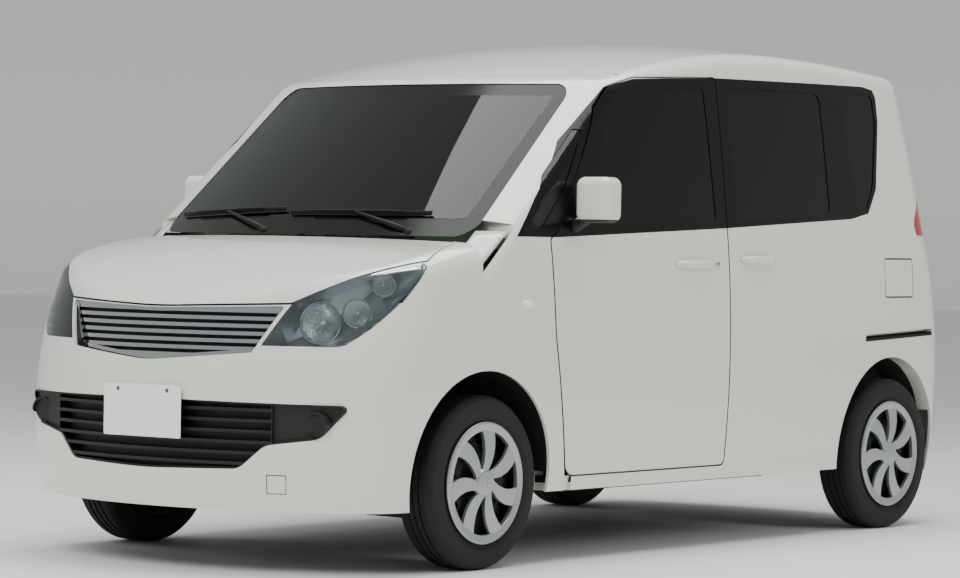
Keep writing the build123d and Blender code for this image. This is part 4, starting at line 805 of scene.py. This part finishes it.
def make_rear_fittings():
    """Garnish over the plate, rear wiper and the reflectors of the bumper."""
    garnish = bmesh.new()
    points = []
    for i in range(13):
        x = -0.30 + 0.05 * i
        spot, _ = touch("tailgate", (x, START_OUT, 1.03), (0, -1, 0))
        points.append(spot + Vector((0, 0.004, 0)))
    tube(garnish, points, 0.019, flat=0.55)
    piece("gate_garnish", garnish, "tailgate", "paint", subdivide=1)
    blade = bmesh.new()
    points = []
    for i in range(9):
        x = -0.02 - 0.30 * i / 8
        spot, spot_normal = touch("tailgate_glass", (x, START_OUT, 1.165), (0, -1, 0))
        points.append(spot + spot_normal * 0.009)
    tube(blade, points, 0.007, flat=0.5)
    hub, hub_normal = touch("tailgate", (0.02, START_OUT, 1.085), (0, -1, 0))
    arm = [hub + hub_normal * 0.012, hub + Vector((-0.04, 0.014, 0.05)), points[3] + Vector((0, 0.008, 0))]
    tube(blade, arm, [0.012, 0.009, 0.005])
    turned(blade, [(0.0, 0.018), (0.015, 0.016), (0.019, 0.004), (0.019, 0.0)], facing(hub, hub_normal), 24)
    piece("rear_wiper", blade, "tailgate", "plastic")
    for side, sign in SIDES:
        spot, spot_normal = touch("rear_bumper", (sign * 0.60, START_OUT, 0.42), (0, -1, 0))
        lamp = bmesh.new()
        oval = facing(spot, spot_normal) @ Matrix.Diagonal((0.055, 0.019, 1, 1))
        turned(lamp, [(0.0, 0.004), (0.85, 0.003), (1.0, 0.0)], oval, 36)
        piece("bumper_reflector_" + side, lamp, "body", "tail")


def screen_line(x, z):
    """Place of the windscreen's surface, carried on below and beside the glass."""
    near, far = SCREEN_X
    low, high = SCREEN_Z
    foot, _ = touch("windshield", (near, -START_OUT, low), (0, 1, 0))
    edge, _ = touch("windshield", (far, -START_OUT, low), (0, 1, 0))
    head, _ = touch("windshield", (near, -START_OUT, high), (0, 1, 0))
    bow = (edge.y - foot.y) / (far ** 2 - near ** 2)
    rise = (head.y - foot.y) / (high - low)
    return Vector((x, foot.y + bow * (x * x - near ** 2) + rise * (z - low), z))


def make_scuttle_corners():
    """Painted corners between bonnet, fender and the foot of each pillar."""
    for side, sign in SIDES:
        patch = bmesh.new()
        columns = []
        for i in range(9):
            x = CORNER_X[0] + (CORNER_X[1] - CORNER_X[0]) * i / 8
            column = []
            for j in range(7):
                z = CORNER_Z[0] + (CORNER_Z[1] - CORNER_Z[0]) * j / 6
                place = screen_line(x, z) + Vector((0, 0.002 + 0.02 * (i / 8) ** 4, 0))
                column.append(Vector((sign * place.x, place.y, place.z)))
            columns.append(column)
        skin(patch, columns, closed=False, caps=False)
        made = piece("scuttle_corner_" + side, patch, "body", "paint")
        depth = made.modifiers.new("depth", "SOLIDIFY")
        depth.thickness = CORNER_SHEET
        depth.offset = -1.0


def make_tow_cover_seam():
    """Square outline of the towing eye's cover in the front bumper, painted near black as the shade in its
    seam.
    """
    spot, normal = touch("front_bumper", (0.47, -START_OUT, 0.285), (0, 1, 0))
    at = facing(spot, normal)
    ring = bmesh.new()
    for low, high in (((-0.03, 0.028), (0.03, 0.030)), ((-0.03, -0.030), (0.03, -0.028)),
                      ((-0.032, -0.03), (-0.030, 0.03)), ((0.030, -0.03), (0.032, 0.03))):
        block(ring, (*low, 0.0), (*high, 0.0006), at)
    # The near-black seal look here is the painted shade of the seam
    piece("tow_cover_seam", ring, "body", "seal", smooth=False)


def make_stage(settings):
    """Plain pale round floor, soft lights and a sky that fades into the floor."""
    floor = bmesh.new()
    bmesh.ops.create_circle(floor, cap_ends=True, segments=96, radius=settings.floor_radius)
    data = bpy.data.meshes.new("studio_floor")
    floor.to_mesh(data)
    floor.free()
    for face in data.polygons:
        face.use_smooth = True
    made = bpy.data.objects.new("studio_floor", data)
    data.materials.append(MATERIALS["stage"])
    bpy.context.scene.collection.objects.link(made)
    rows = (
        # name, place, size, power
        ("key", (1.0, -6.5, 6.0), 5.0, 420.0),
        ("fill", (-6.5, -3.0, 3.5), 4.0, 90.0),
        ("side", (7.5, 1.5, 3.6), 3.0, 150.0),
        ("top", (0.5, 0.8, 6.5), 6.0, 420.0),
    )
    for name, place, size, power in rows:
        light = bpy.data.lights.new(name, "AREA")
        light.shape = "DISK"
        light.size = size
        light.energy = power
        lamp = bpy.data.objects.new(name, light)
        lamp.location = place
        lamp.rotation_euler = (Vector((0, 0, 0.7)) - Vector(place)).to_track_quat("-Z", "Y").to_euler()
        lamp.visible_glossy = name == "top"
        bpy.context.scene.collection.objects.link(lamp)
    world = bpy.data.worlds.new("studio")
    world.use_nodes = True
    tree = world.node_tree
    ramp = node(tree, "ShaderNodeValToRGB")
    stops = ((0.0, "#8A8782"), (0.49, "#E6E6E3"), (0.51, "#F0F0EE"), (0.6, "#D4D8DB"), (1.0, "#FFFFFF"))
    while len(ramp.color_ramp.elements) < len(stops):
        ramp.color_ramp.elements.new(0.5)
    for element, (place, code) in zip(ramp.color_ramp.elements, stops):
        element.position = place
        element.color = colour(code)
    height = maths(tree, "MULTIPLY", dotted(tree, coordinates(tree, "Generated"), (0, 0, 1)), 0.5)
    tree.links.new(maths(tree, "ADD", height, 0.5), ramp.inputs[0])
    tree.links.new(ramp.outputs[0], tree.nodes["Background"].inputs[0])
    tree.nodes["Background"].inputs[1].default_value = 0.62
    bpy.context.scene.world = world


def make_camera(settings):
    """The photo's camera."""
    azimuth, rise, roll = settings.azimuth, settings.elevation, settings.roll
    back = Vector((sin(azimuth) * cos(rise), -cos(azimuth) * cos(rise), sin(rise)))
    right = Vector((cos(azimuth), sin(azimuth), 0))
    up = back.cross(right)
    x_axis = right * cos(roll) + up * sin(roll)
    y_axis = up * cos(roll) - right * sin(roll)
    data = bpy.data.cameras.new("camera")
    data.lens = settings.lens
    data.sensor_width = SENSOR_WIDTH
    data.clip_end = 200.0
    made = bpy.data.objects.new("camera", data)
    turn = Matrix((x_axis, y_axis, back)).transposed().to_4x4()
    made.matrix_world = Matrix.Translation(Vector(CAMERA_PLACE)) @ turn
    bpy.context.scene.collection.objects.link(made)
    bpy.context.scene.camera = made


# Add-on

class VanSettings(bpy.types.PropertyGroup):
    """Sizes, paint and camera that a user would change."""
    paint: bpy.props.FloatVectorProperty(
        name="Paint", description="Colour of the painted panels", subtype="COLOR", size=4, min=0.0, max=1.0,
        default=colour(PAINT["colour"]))
    handle_length: bpy.props.FloatProperty(
        name="Handle length", description="Length of a front door's pull handle", default=0.235,
        min=0.15, max=0.3, unit="LENGTH")
    plate_width: bpy.props.FloatProperty(
        name="Plate width", description="Width of both blank plates", default=0.33, min=0.2, max=0.52,
        unit="LENGTH")
    plate_height: bpy.props.FloatProperty(
        name="Plate height", description="Height of both blank plates", default=0.165, min=0.1, max=0.2,
        unit="LENGTH")
    azimuth: bpy.props.FloatProperty(
        name="Camera azimuth", description="Turn of the camera from straight ahead towards the car's left",
        default=radians(37.961), subtype="ANGLE")
    elevation: bpy.props.FloatProperty(
        name="Camera elevation", description="Angle by which the camera looks down",
        default=radians(0.85), subtype="ANGLE")
    roll: bpy.props.FloatProperty(
        name="Camera roll", description="Tilt of the picture", default=radians(0.927), subtype="ANGLE")
    lens: bpy.props.FloatProperty(
        name="Lens", description="Focal length in millimetres", default=131.936, min=20, max=300)
    floor_radius: bpy.props.FloatProperty(
        name="Floor radius", description="Radius of the studio floor", default=45.0, min=5, max=200,
        unit="LENGTH")


class VAN_OT_materials(bpy.types.Operator):
    """Give every CAD node its material."""
    bl_idname = "van.materials"
    bl_label = "Materials"
    bl_options = {"REGISTER", "UNDO"}

    def execute(self, context):
        settings = context.scene.van_settings
        dress_nodes(settings)
        return {"FINISHED"}


class VAN_OT_handles(bpy.types.Operator):
    """Add door handles, key cylinders and side repeaters."""
    bl_idname = "van.handles"
    bl_label = "Door handles and repeaters"
    bl_options = {"REGISTER", "UNDO"}

    def execute(self, context):
        settings = context.scene.van_settings
        make_handles(settings)
        make_repeaters()
        return {"FINISHED"}


class VAN_OT_plates(bpy.types.Operator):
    """Add the blank plates and their bolts."""
    bl_idname = "van.plates"
    bl_label = "Blank plates"
    bl_options = {"REGISTER", "UNDO"}

    def execute(self, context):
        settings = context.scene.van_settings
        make_plates(settings)
        return {"FINISHED"}


class VAN_OT_wipers(bpy.types.Operator):
    """Add the two windscreen wipers."""
    bl_idname = "van.wipers"
    bl_label = "Windscreen wipers"
    bl_options = {"REGISTER", "UNDO"}

    def execute(self, context):
        make_wipers()
        return {"FINISHED"}


class VAN_OT_headlamps(bpy.types.Operator):
    """Open the lamp housings and add bowls, bulbs and rings."""
    bl_idname = "van.headlamps"
    bl_label = "Headlamps"
    bl_options = {"REGISTER", "UNDO"}

    def execute(self, context):
        make_headlamps()
        return {"FINISHED"}


class VAN_OT_mirrors(bpy.types.Operator):
    """Add the panes of the door mirrors."""
    bl_idname = "van.mirrors"
    bl_label = "Mirror panes"
    bl_options = {"REGISTER", "UNDO"}

    def execute(self, context):
        make_mirror_panes()
        return {"FINISHED"}


class VAN_OT_seats(bpy.types.Operator):
    """Replace the plain seats by padded ones."""
    bl_idname = "van.seats"
    bl_label = "Seats"
    bl_options = {"REGISTER", "UNDO"}

    def execute(self, context):
        make_seats()
        return {"FINISHED"}


class VAN_OT_trims(bpy.types.Operator):
    """Add the small trims of the front and the rear."""
    bl_idname = "van.trims"
    bl_label = "Front and rear trims"
    bl_options = {"REGISTER", "UNDO"}

    def execute(self, context):
        make_tow_cover_seam()
        make_scuttle_corners()
        make_rear_fittings()
        return {"FINISHED"}


class VAN_OT_stage(bpy.types.Operator):
    """Add the floor, the lights, the sky and the camera."""
    bl_idname = "van.stage"
    bl_label = "Stage and camera"
    bl_options = {"REGISTER", "UNDO"}

    def execute(self, context):
        settings = context.scene.van_settings
        make_stage(settings)
        make_camera(settings)
        return {"FINISHED"}


class VAN_PT_panel(bpy.types.Panel):
    """Sizes and one button for each group of pieces."""
    bl_label = "Van"
    bl_space_type = "VIEW_3D"
    bl_region_type = "UI"
    bl_category = "Van"

    def draw(self, context):
        settings = context.scene.van_settings
        for name in settings.__annotations__:
            self.layout.prop(settings, name)
        for operator in OPERATORS:
            self.layout.operator(operator.bl_idname)


OPERATORS = (
    VAN_OT_materials, VAN_OT_handles, VAN_OT_plates, VAN_OT_wipers, VAN_OT_headlamps, VAN_OT_mirrors,
    VAN_OT_seats, VAN_OT_trims, VAN_OT_stage,
)
CLASSES = (VanSettings, *OPERATORS, VAN_PT_panel)


def register():
    """Make the classes and the settings known to Blender."""
    for cls in CLASSES:
        bpy.utils.register_class(cls)
    bpy.types.Scene.van_settings = bpy.props.PointerProperty(type=VanSettings)


def unregister():
    """Take them back."""
    del bpy.types.Scene.van_settings
    for cls in reversed(CLASSES):
        bpy.utils.unregister_class(cls)


def main():
    """Build every piece in order."""
    register()
    for operator in OPERATORS:
        group, name = operator.bl_idname.split(".")
        getattr(getattr(bpy.ops, group), name)()


if __name__ == "__main__":
    main()
